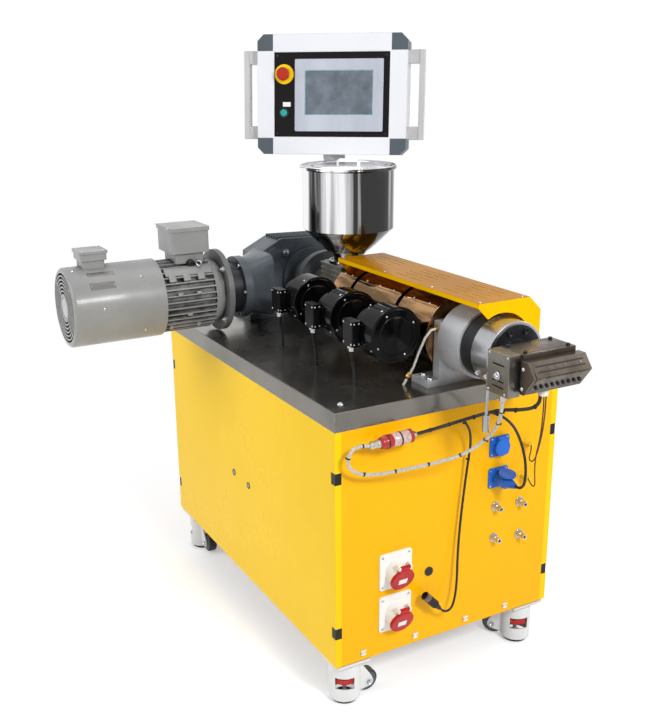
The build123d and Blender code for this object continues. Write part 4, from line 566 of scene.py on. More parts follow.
DIE_STEEL = brushed(
    "tool_steel", "die_steel", (112, 101, 91), metallic=0.95, roughness=0.34, spread=0.12, shade=0.45,
    mottle=18.0, fineness=420.0, stretch=(0.15, 1.0, 1.0), relief=0.12, wear=1.0, bare=(214, 208, 200),
    dust=0.03, grime=0.8,
    patches=(
        Patch((307.5, 350, 1000), (310.5, 494, 1006), (16, 13, 11), 0.0, 0.6),
        Patch((317, 350, 988), (319.5, 494, 995), (16, 13, 11), 0.0, 0.6),
        Patch((200, 349, 1022), (203, 495, 1024), (30, 26, 23), 0.3, 0.5),
        Patch((263, 349, 1022), (266, 495, 1024), (30, 26, 23), 0.3, 0.5),
    ))
BOX_SHEET = brushed(
    "die_box_sheet", "sheet_steel", (148, 145, 137), shade=0.7, mottle=20.0, stretch=(1.0, 1.0, 0.06),
    wear=0.6, bare=(228, 226, 220), grime=0.5,
    patches=(
        Patch((256, 400, 908), (284, 428, 932), (232, 229, 220), 0.0, 0.7),
        Patch((217, 312, 899), (243, 339, 919.9), (206, 206, 204), 1.0, 0.18),
        Patch((200, 309, 930), (262, 311, 1002), (9, 9, 9), 0.0, 0.8),
    ))
PLATE_STEEL = brushed(
    "name_plate", "bright_steel", (122, 121, 118), metallic=0.8, roughness=0.35, shade=0.85, mottle=40.0,
    fineness=600.0, stretch=(1.0, 0.1, 1.0), bare=(190, 190, 188))
DARK_STEEL = cast(
    "blackened_steel", "dark_steel", (44, 44, 47), metallic=0.6, roughness=0.38, mottle=9.0, fineness=700.0,
    relief=0.1, bare=(150, 150, 152), bare_metal=1.0)
SUPPORT_CAST = cast(
    "support_casting", "grey_casting", (190, 191, 193), metallic=0.35, spread=0.08, shade=0.8, fineness=380.0,
    relief=0.3, bare=(222, 222, 222), bare_metal=0.9, grime=0.7)
GEAR_ENAMEL = cast(
    "gear_enamel", "gear_paint", (90, 97, 104), roughness=0.34, shade=0.6, mottle=12.0, wear=0.8,
    bare=(160, 166, 170), coat=0.15, specular=0.3, grime=0.9)
THRUST_CAST = cast(
    "thrust_casting", "grey_casting", (98, 100, 101), metallic=0.3, roughness=0.42, shade=0.5, fineness=300.0,
    wear=0.8, bare=(186, 186, 184), bare_metal=0.9, grime=0.9)
THROAT_CAST = cast(
    "throat_casting", "grey_casting", (142, 138, 130), metallic=0.4, shade=0.5, mottle=20.0, fineness=300.0,
    wear=0.9, bare=(206, 204, 198), bare_metal=0.9, grime=0.9)
# Motor adapter: a darkened copy of the gear enamel, painted shade for the deep shade it sits in between motor
# and gearbox.
ADAPTER_SHADED_ENAMEL = cast(
    "adapter_enamel", "gear_paint", (36, 39, 43), roughness=0.36, shade=0.7, relief=0.25, wear=0.4,
    bare=(110, 114, 118))
BLOWER_BOX = moulded(
    "blower_box_moulding", "black_plastic", (8, 8, 9), spread=0.06, shade=0.7, fineness=500.0, relief=0.06,
    wear=0.15, bare=(50, 50, 52), dust=0.0, specular=0.14,
    patches=tuple(
        Patch((-face - 98, 130, 949), (-face - 72, 160, 965.9), (206, 206, 204), 1.0, 0.18)
        for face in BLOWER_FACES))
BLACK_PLASTIC = moulded(
    "black_moulding", "black_plastic", (20, 20, 21), roughness=0.45, shade=0.75, bare=(70, 70, 70),
    specular=0.3)
HOUSING_WHITE = moulded(
    "caster_hood", "housing_white", (228, 229, 228), roughness=0.34, shade=0.93, mottle=20.0,
    bare=(200, 200, 200), dust=0.1, grime=0.6)
WHEEL_BLACK = moulded(
    "caster_tread", "wheel_black", (38, 38, 39), roughness=0.5, shade=0.7, mottle=40.0, relief=0.25, wear=0.5,
    bare=(84, 82, 80), dust=0.25)
FOOT_RUBBER = moulded(
    "foot_rubber", "foot_black", (34, 33, 33), roughness=0.62, shade=0.75, mottle=40.0, relief=0.3, wear=0.4,
    bare=(92, 90, 88), dust=0.3)
FOOT_RED = moulded(
    "foot_thumbwheel", "foot_black", (196, 38, 30), roughness=0.4, mottle=50.0, wear=0.4,
    bare=(226, 120, 110), dust=0.15)
HANDLE_GREY = moulded(
    "handle_coat", "box_aluminium", (192, 192, 192), roughness=0.26, spread=0.05, shade=0.9, mottle=14.0,
    bare=(226, 226, 226), soft_edge=0.003)
CORNER_GREY = moulded(
    "corner_moulding", "corner_grey", (76, 85, 92), roughness=0.42, shade=0.88, mottle=20.0, relief=0.2,
    wear=0.3, bare=(128, 134, 138))
BEZEL_SILVER = moulded(
    "bezel_moulding", "screen_grey", (190, 195, 206), metallic=0.25, roughness=0.2, spread=0.06, shade=0.82,
    relief=0.05, bare=(226, 228, 232), dust=0.0, coat=0.2, drawn=(1.0, 1.0, 0.3))
# Screen: its dark and pale smears are painted reflection on the glass, together with the film's uneven tone.
SCREEN_GLASS = moulded(
    "screen_film", "screen_grey", (108, 118, 130), roughness=0.1, spread=0.05, shade=0.5, mottle=20.0,
    fineness=60.0, relief=0.2, wear=0.0, dust=0.0, coat=0.5)
# Pale cyan strips round the screen glass are a painted glint on its edges.
SCREEN_EDGE_GLINT = moulded(
    "screen_rim", "screen_grey", (150, 200, 212), roughness=0.2, spread=0.05, shade=0.7, mottle=40.0,
    relief=0.05, wear=0.0, dust=0.0)
COLLAR_YELLOW = moulded(
    "button_plates", "collar_yellow", (250, 206, 22), shade=0.92, mottle=30.0, relief=0.05,
    bare=(230, 210, 120), specular=0.2,
    patches=(Patch((-945, 285, 1488), (-845, 375, 1546), (42, 62, 62), 0.0, 0.3),))
BUTTON_RED = moulded(
    "stop_mushroom", "button_red", (176, 46, 28), mottle=50.0, relief=0.08, wear=0.3, bare=(226, 120, 100),
    specular=0.25)
BUTTON_TEAL = moulded(
    "start_cap", "button_teal", (38, 158, 156), roughness=0.25, shade=0.85, mottle=60.0, relief=0.06,
    wear=0.3, bare=(120, 200, 196))
SOCKET_WHITE = moulded(
    "socket_moulding", "socket_white", (244, 243, 238), roughness=0.34, shade=0.95, mottle=18.0, relief=0.06,
    wear=0.25, bare=(216, 214, 208))
LID_RED = moulded(
    "lid_moulding", "lid_red", (186, 18, 24), roughness=0.27, mottle=26.0, relief=0.08, wear=0.35,
    bare=(216, 100, 96), specular=0.25)
SOCKET_BLUE = moulded(
    "supply_moulding", "socket_blue", (40, 112, 214), mottle=26.0, relief=0.08, wear=0.35,
    bare=(128, 170, 224), specular=0.25, grime=0.4)
CABLE_BLACK = moulded(
    "cable_sheath", "cable_black", (28, 28, 29), roughness=0.42, shade=0.7, mottle=60.0, relief=0.15,
    wear=0.0, dust=0.1)
CLEAR_SMOKE = moulded(
    "smoked_moulding", "cable_black", (118, 92, 66), roughness=0.15, shade=0.5, mottle=120.0, relief=0.1,
    bare=(190, 170, 150), coat=0.5)
COUPLING_RED = moulded(
    "red_coupling", "coupling_red", (178, 44, 42), roughness=0.28, mottle=60.0, relief=0.06,
    bare=(214, 120, 112))
PALE_PLASTIC = moulded(
    "pale_moulding", "socket_white", (236, 234, 228), roughness=0.4, shade=0.94, mottle=40.0, relief=0.06,
    wear=0.1, bare=(214, 212, 206))
CABLE_WHITE = braided(
    "glass_sleeving", "cable_white", (206, 203, 194), roughness=0.7, shade=0.62, mottle=160.0, dust=0.0)
LEAD_BROWN = braided(
    "braided_lead", "lead_brown", (92, 52, 34), roughness=0.62, shade=0.5, mottle=220.0, fineness=1400.0,
    dust=0.0)
COUPLING_CLEAR = braided(
    "clear_coupling", "coupling_red", (226, 190, 184), roughness=0.2, shade=0.55, mottle=130.0,
    fineness=320.0, relief=0.5, wear=0.2, bare=(246, 236, 234), coat=0.4)


def settled(part: Shape) -> Shape:
    """Merges doubles and turns every face outwards.

    Args:
        part: Mesh to settle.

    Returns:
        The same mesh.
    """
    bmesh.ops.remove_doubles(part, verts=part.verts, dist=DOUBLES)
    bmesh.ops.recalc_face_normals(part, faces=part.faces)
    return part


def placed(part: Shape, place: Vector, turn: Matrix) -> Shape:
    """Turns a mesh about the origin and sets it in its place."""
    bmesh.ops.transform(part, matrix=Matrix.Translation(place) @ turn, verts=part.verts)
    return part


def rounded(part: Shape, width: float, segments: int = 2, sharp: float = 40.0) -> Shape:
    """Bevels the edges of a part that are sharper than an angle.

    Args:
        part: Mesh to bevel.
        width: Width of the bevel in millimetres.
        segments: Faces across the bevel.
        sharp: Least angle in degrees that is bevelled.

    Returns:
        The same mesh.
    """
    edges = [e for e in part.edges if len(e.link_faces) == 2 and e.calc_face_angle(0.0) > radians(sharp)]
    bmesh.ops.bevel(part, geom=edges, offset=width * MM, offset_type="OFFSET", segments=segments, profile=0.5,
                    affect="EDGES", clamp_overlap=True, material=-1)
    return part


def facing(out: Vector, across: Optional[Vector] = None) -> Matrix:
    """Rotation whose z looks along a direction.

    Args:
        out: Direction that local z takes.
        across: Direction that local x leans towards.

    Returns:
        A 4 by 4 rotation.
    """
    z = out.normalized()
    x = across or z.orthogonal()
    x = (x - z * x.dot(z)).normalized()
    return Matrix((x, z.cross(x), z)).transposed().to_4x4()


def block(centre: Vector, size: Sequence[float], turn: Matrix = Matrix.Identity(4), round_by: float = 0.0,
          segments: int = 2) -> Shape:
    """Makes a block with rounded edges.

    Args:
        centre: Middle of the block, in row-frame metres.
        size: Its three sizes in millimetres.
        turn: Rotation of its axes.
        round_by: Bevel of its edges in millimetres.
        segments: Faces across the bevel.

    Returns:
        The block.
    """
    part = bmesh.new()
    bmesh.ops.create_cube(part, size=1.0)
    bmesh.ops.scale(part, vec=Vector(size) * MM, verts=part.verts)
    if round_by:
        rounded(part, round_by, segments)
    return settled(placed(part, centre, turn))


def lathe(profile: Sequence[Pair], origin: Vector, axis: Vector, steps: int = 64,
          closed: bool = False) -> Shape:
    """Spins a profile round an axis.

    Args:
        profile: Radius and distance along the axis of each point, in millimetres.
        origin: Where distance 0 lies, in row-frame metres.
        axis: Direction of the axis.
        steps: Faces round the axis.
        closed: Whether the last point joins the first.

    Returns:
        The turned part.
    """
    along = axis.normalized()
    out = along.orthogonal().normalized()
    part = bmesh.new()
    points = [part.verts.new(origin + out * (r * MM) + along * (d * MM)) for r, d in profile]
    runs = [part.edges.new(pair) for pair in zip(points, points[1:])]
    if closed:
        runs.append(part.edges.new((points[-1], points[0])))
    bmesh.ops.spin(part, geom=points + runs, cent=origin, axis=along, dvec=(0, 0, 0), angle=2 * pi,
                   steps=steps, use_merge=True, use_normal_flip=False, use_duplicate=False)
    return settled(part)


def hoop(radii: Pair, span: Pair, place: Vector, axis: Vector, steps: int) -> Shape:
    """Square ring, or a disc where the inner radius is 0, over a span along its axis in millimetres."""
    (inner, outer), (low, high) = radii, span
    return lathe([(inner, low), (outer, low), (outer, high), (inner, high)], place, axis, steps, inner > 0)


def prism(outline: Sequence[Pair], origin: Vector, right: Vector, up: Vector, depth: float,
          round_by: float) -> Shape:
    """Extrudes a flat outline.

    Args:
        outline: Points to the right and up from the origin, in millimetres.
        origin: Where the outline is measured from.
        right: Direction of the outline's x.
        up: Direction of the outline's y.
        depth: Length of the extrusion along right cross up, in millimetres.
        round_by: Bevel of its edges in millimetres.

    Returns:
        The prism.
    """
    part = bmesh.new()
    face = part.faces.new([part.verts.new(origin + right * (x * MM) + up * (y * MM)) for x, y in outline])
    pushed = bmesh.ops.extrude_face_region(part, geom=[face])
    moved = [v for v in pushed["geom"] if isinstance(v, bmesh.types.BMVert)]
    bmesh.ops.translate(part, vec=right.cross(up).normalized() * (depth * MM), verts=moved)
    return rounded(settled(part), round_by)


def tube(points: Sequence[Vector], radii: Sequence[float], sides: int = 16) -> Shape:
    """Bridges rings set along a line of points.

    Args:
        points: Line in row-frame metres.
        radii: Radius at each point in millimetres.
        sides: Sides of each ring.

    Returns:
        The closed tube.
    """
    part = bmesh.new()
    loops = []
    lean = (points[1] - points[0]).orthogonal()
    for place, (here, radius) in enumerate(zip(points, radii)):
        before = points[max(place - 1, 0)]
        after = points[min(place + 1, len(points) - 1)]
        turn = facing(after - before, lean)
        lean = turn.to_3x3() @ Vector((1, 0, 0))
        ring = bmesh.ops.create_circle(part, cap_ends=False, radius=radius * MM, segments=sides,
                                       matrix=Matrix.Translation(here) @ turn)["verts"]
        loops.append({e for v in ring for e in v.link_edges})
    for first, second in zip(loops, loops[1:]):
        bmesh.ops.bridge_loops(part, edges=list(first | second))
    bmesh.ops.holes_fill(part, edges=part.edges, sides=sides)
    return settled(part)


def merge_into(whole: Shape, part: Shape) -> None:
    """Adds one mesh to another and frees it.

    Args:
        whole: Mesh that grows.
        part: Mesh that is added.
    """
    held = bpy.data.meshes.new("held")
    part.to_mesh(held)
    part.free()
    whole.from_mesh(held)
    bpy.data.meshes.remove(held)


def stored(name: str, parts: Iterable[Shape]) -> Thing:
    """Joins meshes, which are freed, into one object of the scene.

    Args:
        name: Name of the object and of its mesh.
        parts: Meshes to join.

    Returns:
        The object.
    """
    whole = bmesh.new()
    for part in parts:
        merge_into(whole, part)
    mesh = bpy.data.meshes.new(name)
    whole.to_mesh(mesh)
    whole.free()
    thing = bpy.data.objects.new(name, mesh)
    bpy.context.scene.collection.objects.link(thing)
    return thing


class Head(Enum):
    """Kinds of screw head on the machine, each with its height against its radius."""

    HEX = 0.62
    SOCKET = 0.95
    PAN = 0.5


def screw(place: Vector, out: Vector, radius: float, head: Head = Head.PAN) -> Shape:
    """Makes the head of a screw, with a washer under a hexagon head.

    Args:
        place: Where the head sits on its surface.
        out: Direction that the surface faces.
        radius: Radius of the head in millimetres.
        head: Kind of head.

    Returns:
        The head.
    """
    height = head.value * radius
    if head is Head.PAN:
        dome = ((0, 0.25), (0.16, 0.3), (0.3, 1), (0.62, 0.94), (0.9, 0.6), (1, 0.2), (1, 0), (0, 0))
        return lathe([(wide * radius, tall * height) for wide, tall in dome], place, out, 20)
    hexagon = head is Head.HEX
    washer = 0.12 * radius if hexagon else 0.0
    part = bmesh.new()
    bmesh.ops.create_cone(part, cap_ends=True, segments=6 if hexagon else 24, radius1=radius * MM,
                          radius2=radius * MM, depth=height * MM)
    if hexagon:
        rounded(part, 0.09 * radius)
    else:
        top = max(part.faces, key=lambda f: f.calc_center_median().z)
        bmesh.ops.inset_individual(part, faces=[top], thickness=0.42 * radius * MM)
        bmesh.ops.translate(part, vec=UP * (-0.5 * height * MM), verts=top.verts)
    placed(part, place + out.normalized() * ((height / 2 + washer) * MM), facing(out))
    if hexagon:
        merge_into(part, hoop((0.0, 1.35 * radius), (0.0, washer), place, out, 24))
    return part


@dataclass
class Workshop:
    """What the sub-assemblies share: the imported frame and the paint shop.

    Args:
        frame: Result of loading the frame.
        paints: Paint shop that mixes the finishes.
        made: Names of the pieces made so far.
    """

    frame: dict
    paints: PaintShop
    made: list[str] = field(default_factory=list)

    def dress(self, finish: Finish, *nodes: str) -> None:
        """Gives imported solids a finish.

        Args:
            finish: Finish to give.
            nodes: Names of the solids.
        """
        for name in nodes:
            for slot in self.frame["nodes"][name].material_slots:
                slot.material = self.paints.material(finish)
            LOG.info("%s: %s", name, finish.name)

    def add(self, name: str, parts: Iterable[Shape], finish: Finish, body: str = "machine",
            replaces: Sequence[str] = ()) -> Thing:
        """Joins parts into one piece that rides on a body.

        Args:
            name: Name of the piece.
            parts: Meshes to join, which are freed.
            finish: Finish of the piece.
            body: Body that carries it.
            replaces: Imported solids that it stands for.

        Returns:
            The piece.
        """
        piece = stored(name, parts)
        piece.data.shade_smooth()
        piece.data.set_sharp_from_angle(angle=radians(SHARP_EDGE))
        piece.data.materials.append(self.paints.material(finish))
        return self.hang(piece, body, replaces)

    def screws(self, name: str, finish: Finish, places: Iterable[Vector], out: Vector, radius: float,
               head: Head = Head.PAN, body: str = "machine") -> None:
        """Adds equal screws that face one way, as one piece."""
        self.add(name, [screw(place, out, radius, head) for place in places], finish, body)

    def copy_of(self, node: str) -> Shape:
        """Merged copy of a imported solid's mesh.

        Args:
            node: Name of the solid.

        Returns:
            The copy, with its flat faces joined up.
        """
        whole = bmesh.new()
        whole.from_mesh(self.frame["nodes"][node].data)
        bmesh.ops.remove_doubles(whole, verts=whole.verts, dist=DOUBLES)
        bmesh.ops.dissolve_limit(whole, angle_limit=radians(1), verts=whole.verts, edges=whole.edges)
        return whole

    def cut(self, piece: Thing, cutters: Iterable[Shape]) -> None:
        """Cuts shapes out of a piece.

        Args:
            piece: Piece that is cut.
            cutters: Closed meshes to cut away, which are freed.
        """
        tool = stored("cutters", cutters)
        cut = piece.modifiers.new("cut", "BOOLEAN")
        cut.operation = "DIFFERENCE"
        cut.solver = "EXACT"
        cut.object = tool
        made = bpy.data.meshes.new_from_object(piece.evaluated_get(bpy.context.evaluated_depsgraph_get()))
        piece.modifiers.clear()
        piece.data = made
        bpy.data.objects.remove(tool)

    def hang(self, piece: Thing, body: str, replaces: Sequence[str]) -> Thing:
        """Lets a piece ride on its body.

        Args:
            piece: Piece in its place.
            body: Body that carries it.
            replaces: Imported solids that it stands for.

        Returns:
            The piece.
        """
        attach(piece, body)
        if replaces:
            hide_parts(*replaces)
        self.made.append(piece.name)
        LOG.info("%s: rides on %s", piece.name, body)
        return piece


@dataclass
class Cabinet:
    """The yellow cabinet with its table and casters.

    Args:
        shop: Shared workshop.
        side_plugs: Ahead and height of the metal plugs on the operator's side panel.
        clip_places: Across places of the white clips at the foot of the front panel.
        clip_height: Height of those clips.
        table_bolt: Ahead and across of the dome bolt on the table.
        casters: Corner, ahead, across and trail of each caster, the trail in degrees from straight ahead.
        trail: Distance from a caster's pivot to its axle.
        axle_height: Height of the axles.
    """

    shop: Workshop
    side_plugs: Pairs = ((-631.0, 463.0), (-526.0, 459.0))
    clip_places: tuple[float, ...] = (83.0, 249.0, 419.0, 560.0)
    clip_height: float = 163.0
    table_bolt: Pair = (-52.0, 46.7)
    casters: tuple[tuple[str, float, float, float], ...] = (
        ("front_left", -56.0, 58.0, 90.0), ("front_right", -56.0, 654.0, -142.0),
        ("rear_left", -1076.0, 58.0, 0.0), ("rear_right", -1076.0, 654.0, -60.0),
    )
    trail: float = 66.0
    axle_height: float = 36.5

    def build(self) -> None:
        """Dresses the sheet work and adds what is fixed to it."""
        shop = self.shop
        shop.dress(YELLOW_SIDE, "left_side_panel", "right_side_panel")
        shop.dress(YELLOW_SHEET, "front_panel", "rear_panel")
        shop.dress(FRAME_COAT, "frame")
        shop.dress(TABLE_STEEL, "table_top")
        shop.dress(BLACK_PLASTIC, "panel_pulls")
        places = [spot(ahead, 0, height) for ahead, height in self.side_plugs]
        rim = [(6.5, 0), (10.5, 0), (10.5, 0.8), (9.5, 1.6), (6.5, 1.6)]
        plug = [(0, 1.4), (4.5, 1.2), (6.5, 0.6), (6.5, 0.0), (0, 0.0)]
        shop.add("side_plug_rims", [lathe(rim, place, -ACROSS, 32, True) for place in places], DARK_STEEL)
        shop.add("side_plugs", [lathe(plug, place, -ACROSS, 24) for place in places], ZINC)
        shop.add("foot_clips", [self.clip(across) for across in self.clip_places], PALE_PLASTIC)
        shop.screws("table_bolt", ZINC, [spot(*self.table_bolt, TABLE_TOP)], UP, 9.0)
        self.build_casters()

    def clip(self, across: float) -> Shape:
        """Moulded clip at the foot of the front panel, with its screw.

        Args:
            across: Where its middle stands.

        Returns:
            The clip.
        """
        place = spot(2.0, across, self.clip_height)
        part = block(place, (4, 9, 13), round_by=1.2)
        for rise, wide in ((5.2, 17), (-5.2, 15)):
            merge_into(part, block(place + UP * (rise * MM) + AHEAD * 0.001, (6, wide, 4.4), round_by=1.2))
        merge_into(part, screw(place + AHEAD * 0.002, AHEAD, 3.0))
        return part

    def build_casters(self) -> None:
        """Dresses the casters and rebuilds their levelling feet from pads, stems and thumbwheels."""
        shop = self.shop
        pads, stems, wheels, plates = [], [], [], []
        pad = [(0, 0), (33, 0), (36, 1.5), (36, 5), (34, 6.5), (30, 7), (29, 9), (0, 9)]
        thread = [(6.0 - 0.7 * (turn % 2), 9 + 1.5 * turn) for turn in range(76)]
        for corner, ahead, across, trail in self.casters:
            shop.dress(HOUSING_WHITE, f"caster_housing_{corner}")
            shop.dress(WHEEL_BLACK, f"caster_wheel_{corner}")
            foot = spot(ahead, across, 0)
            pads.append(lathe(pad, foot, UP, 48))
            stems.append(lathe([(0, 9), *thread, (0, 122)], foot, UP, 20))
            stems.append(screw(foot + UP * 0.009, UP, 11.0, Head.HEX))
            wheels.append(self.thumbwheel(foot))
            plates.append(block(foot + UP * 0.124, (96, 96, 4), round_by=1.2))
            for sx, sy in CORNERS:
                place = foot + AHEAD * (0.038 * sx) + ACROSS * (0.038 * sy) + UP * 0.122
                plates.append(screw(place, -UP, 6.0, Head.HEX))
            self.hub(corner, foot, trail)
        for name, parts, finish in (
            ("foot_pads", pads, FOOT_RUBBER), ("foot_stems", stems, ZINC),
            ("foot_thumbwheels", wheels, FOOT_RED), ("foot_plates", plates, ZINC),
        ):
            shop.add(name, parts, finish, replaces=["levelling_feet"])

    def thumbwheel(self, foot: Vector) -> Shape:
        """Ribbed wheel that turns a levelling foot.

        Args:
            foot: Point on the floor under the stem.

        Returns:
            The wheel.
        """
        part = bmesh.new()
        bmesh.ops.create_cone(part, cap_ends=True, segments=72, radius1=0.038, radius2=0.038, depth=0.016,
                              matrix=Matrix.Translation(foot + UP * 0.068))
        for vert in part.verts:
            turn = degrees(atan2(vert.co.y - foot.y, vert.co.x - foot.x)) % 360.0
            if round(turn / 5.0) % 2:
                inward = Vector((foot.x - vert.co.x, foot.y - vert.co.y, 0)).normalized()
                vert.co += inward * 0.0022
        rounded(part, 0.7, 1, 60.0)
        return settled(part)

    def hub(self, corner: str, foot: Vector, angle: float) -> None:
        """Axle screws and bosses on the cheeks, and the rims of the wheel between them.

        Args:
            corner: Which caster it is.
            foot: Point on the floor under its pivot.
            angle: Direction that it trails, in degrees from straight ahead.
        """
        back = polar(angle, AHEAD, ACROSS)
        side = Vector((-back.y, back.x, 0))
        axle = foot + (back * self.trail + UP * self.axle_height) * MM
        boss = [(8.0, 0), (11.5, 0), (11.0, 1.6), (8.4, 1.6)]
        ways = (-side, side)
        heads = [screw(axle + way * 0.021, way, 5.5, Head.SOCKET) for way in ways]
        bosses = [lathe(boss, axle + way * 0.0208, way, 32, True) for way in ways]
        rims = [hoop((13, 26), (0, 0.8), axle + way * 0.014, way, 40) for way in ways]
        self.shop.add(f"axle_screws_{corner}", heads, ZINC, f"caster_{corner}")
        self.shop.add(f"axle_bosses_{corner}", bosses, HOUSING_WHITE, f"caster_{corner}")
        self.shop.add(f"wheel_rims_{corner}", rims, CORNER_GREY, f"wheel_{corner}")


@dataclass
class Drive:
    """Motor, gearbox and thrust housing.

    Args:
        shop: Shared workshop.
        motor_back: Distance of the motor's axis behind the front panel.
        motor_height: Height of the motor's axis.
        flange_across: Across place of the motor flange's near face.
        fan_end: Across place of the fan cover's end.
        grille_rings: Inner radius of each ring slot of the grille.
        drum_radius: Radius of the fan cover.
        stator_radius: Radius over the stator's fins.
        flange_circle: Radius of the motor flange's ring of studs.
        gearbox_face: Ahead place of the gearbox's front face.
        output_face: Ahead place of its ring of bolts round the barrel's axis.
        output_circle: Radius of that ring.
        input_face: Across place of its ring of bolts round the motor's axis.
        input_circle: Radius of that ring.
        gearbox_bolts: Across and height of the bolts on that face.
        drum_screws: Across and angle of the screws round the fan cover.
        drum_plate_screws: Across and angle of the small screws of its plates.
        lugs: Across, angle and size of each lug among the stator's fins.
    """

    shop: Workshop
    motor_back: float = 867.0
    motor_height: float = 986.0
    flange_across: float = 57.0
    fan_end: float = -417.0
    grille_rings: tuple[float, ...] = (42.0, 53.0, 64.0, 75.0, 97.0)
    drum_radius: float = 118.0
    stator_radius: float = 109.0
    flange_circle: float = 111.0
    gearbox_face: float = -917.0
    output_face: float = -805.0
    output_circle: float = 94.0
    input_face: float = 125.0
    input_circle: float = 88.0
    gearbox_bolts: Pairs = ((254, 1066), (335, 1068), (500, 1066), (258, 900), (512, 900))
    drum_screws: Pairs = (
        (-331, 5), (-205, -37.6), (-205, 47), (-205, 130), (-393, 73.5), (-331, 185), (-205, -130))
    drum_plate_screws: Pairs = ((-355, 59.5), (-285, 59.5), (-357, 38.8), (-291, 38.8))
    lugs: tuple[tuple[float, float, Triple], ...] = (
        (-56, 50, (150, 30, 7)), (-20, 38, (22, 22, 12)), (-66, 38, (22, 22, 12)), (-112, 38, (22, 22, 12)),
        (-36, 12, (16, 9, 10)), (-96, 12, (16, 9, 10)), (-66, -22, (16, 9, 10)), (-30, -47, (12, 14, 12)),
        (-120, -47, (12, 14, 12)), (-56, 130, (150, 30, 7)), (-20, 142, (22, 22, 12)),
        (-112, 142, (22, 22, 12)),
    )

    def round_motor(self, across: float, angle: float, reach: float) -> Vector:
        """Place off the motor's axis, at an angle above the horizontal that faces ahead."""
        return spot(-self.motor_back, across, self.motor_height) + polar(angle, AHEAD) * (reach * MM)

    def build(self) -> None:
        """Dresses the drive and adds its plates and screws."""
        shop = self.shop
        shop.dress(MOTOR_ENAMEL, "motor_housing", "motor_terminal_boxes")
        # The adapter's darker enamel is painted shade.
        shop.dress(ADAPTER_SHADED_ENAMEL, "motor_adapter")
        shop.dress(GEAR_ENAMEL, "gearbox")
        self.build_grille()
        shop.dress(THRUST_CAST, "thrust_housing")
        plates = [self.drum_plate(-320, 59.5, 78, 17), self.drum_plate(-324, 38.8, 74, 24)]
        shop.add("drum_plates", plates, PLATE_STEEL)
        shop.add("drum_screws", [
            screw(self.round_motor(across, angle, reach), polar(angle, AHEAD), radius)
            for places, reach, radius in ((self.drum_screws, self.drum_radius, 5.0),
                                          (self.drum_plate_screws, self.drum_radius + 1.2, 1.8))
            for across, angle in places
        ], ZINC)
        end = self.round_motor(self.fan_end + 1.4, 0, 0)
        badge = lathe([(0, 1.2), (28, 1.2), (30, 0.4), (30, 0), (0, 0)], end, -ACROSS, 48)
        shop.add("fan_badge", [badge], HANDLE_GREY)
        shop.add("fan_wheel", [self.fan(self.round_motor(self.fan_end + 30, 0, 0))], BLACK_PLASTIC)
        self.build_flange()
        self.build_box_lids()
        lugs = []
        for across, angle, size in self.lugs:
            place = self.round_motor(across, angle, self.stator_radius)
            lugs.append(block(place, size, facing(polar(angle, AHEAD), ACROSS), 1.8))
        shop.add("stator_lugs", lugs, MOTOR_ENAMEL)
        self.build_gearbox()

    def build_grille(self) -> None:
        """Copies the fan cover, cuts every ring of its grille and sets the four spokes behind them."""
        whole = self.shop.copy_of("motor_fan_cover")
        end = self.round_motor(self.fan_end, 0, 0)
        cutters = [hoop((inner, inner + 6), (-3, 8), end, ACROSS, 96) for inner in self.grille_rings]
        cutters.append(hoop((0, 30.5), (-3, 1.4), end, ACROSS, 64))
        spokes = [
            block(end + out * 0.073 + ACROSS * 0.0022, (66, 5, 2.4), facing(ACROSS, out), 0.5, 1)
            for out in around(4, 45, AHEAD)
        ]
        cover = self.shop.add("fan_cover", [whole], MOTOR_ENAMEL, replaces=["motor_fan_cover"])
        self.shop.cut(cover, cutters)
        self.shop.add("fan_cover_spokes", spokes, MOTOR_ENAMEL)

    def drum_plate(self, across: float, angle: float, width: float, tall: float) -> Shape:
        """Blank plate bent to the fan drum.

        Args:
            across: Middle of the plate along the motor.
            angle: Angle of its middle.
            width: Its width along the motor.
            tall: Its height round the drum.

        Returns:
            The plate.
        """
        out = polar(angle, AHEAD)
        part = bmesh.new()
        bmesh.ops.create_grid(part, x_segments=2, y_segments=10, size=0.5)
        bmesh.ops.scale(part, vec=(width * MM, tall * MM, 1), verts=part.verts)
        turn = Matrix((ACROSS, -ACROSS.cross(out), out)).transposed().to_4x4()
        placed(part, self.round_motor(across, angle, self.drum_radius + 0.4), turn)
        middle = self.round_motor(0, 0, 0)
        for vert in part.verts:
            radial = Vector((vert.co.x - middle.x, 0, vert.co.z - middle.z))
            vert.co += radial.normalized() * ((self.drum_radius + 0.3) * MM - radial.length)
        bmesh.ops.solidify(part, geom=part.faces[:], thickness=0.9 * MM)
        return settled(part)

    def fan(self, hub: Vector) -> Shape:
        """Fan wheel that shows through the grille.

        Args:
            hub: Middle of the wheel.

        Returns:
            The wheel.
        """
        part = lathe([(0, 10), (26, 8), (30, -6), (0, -6)], hub, -ACROSS, 32)
        for blade in range(9):
            vane = block(Vector((0, 0, 0.064)), (5, 26, 76), Matrix.Rotation(0.5, 4, "Z"), 0.8, 1)
            merge_into(part, placed(vane, hub, Matrix.Rotation(radians(40 * blade), 4, "Y")))
        return part

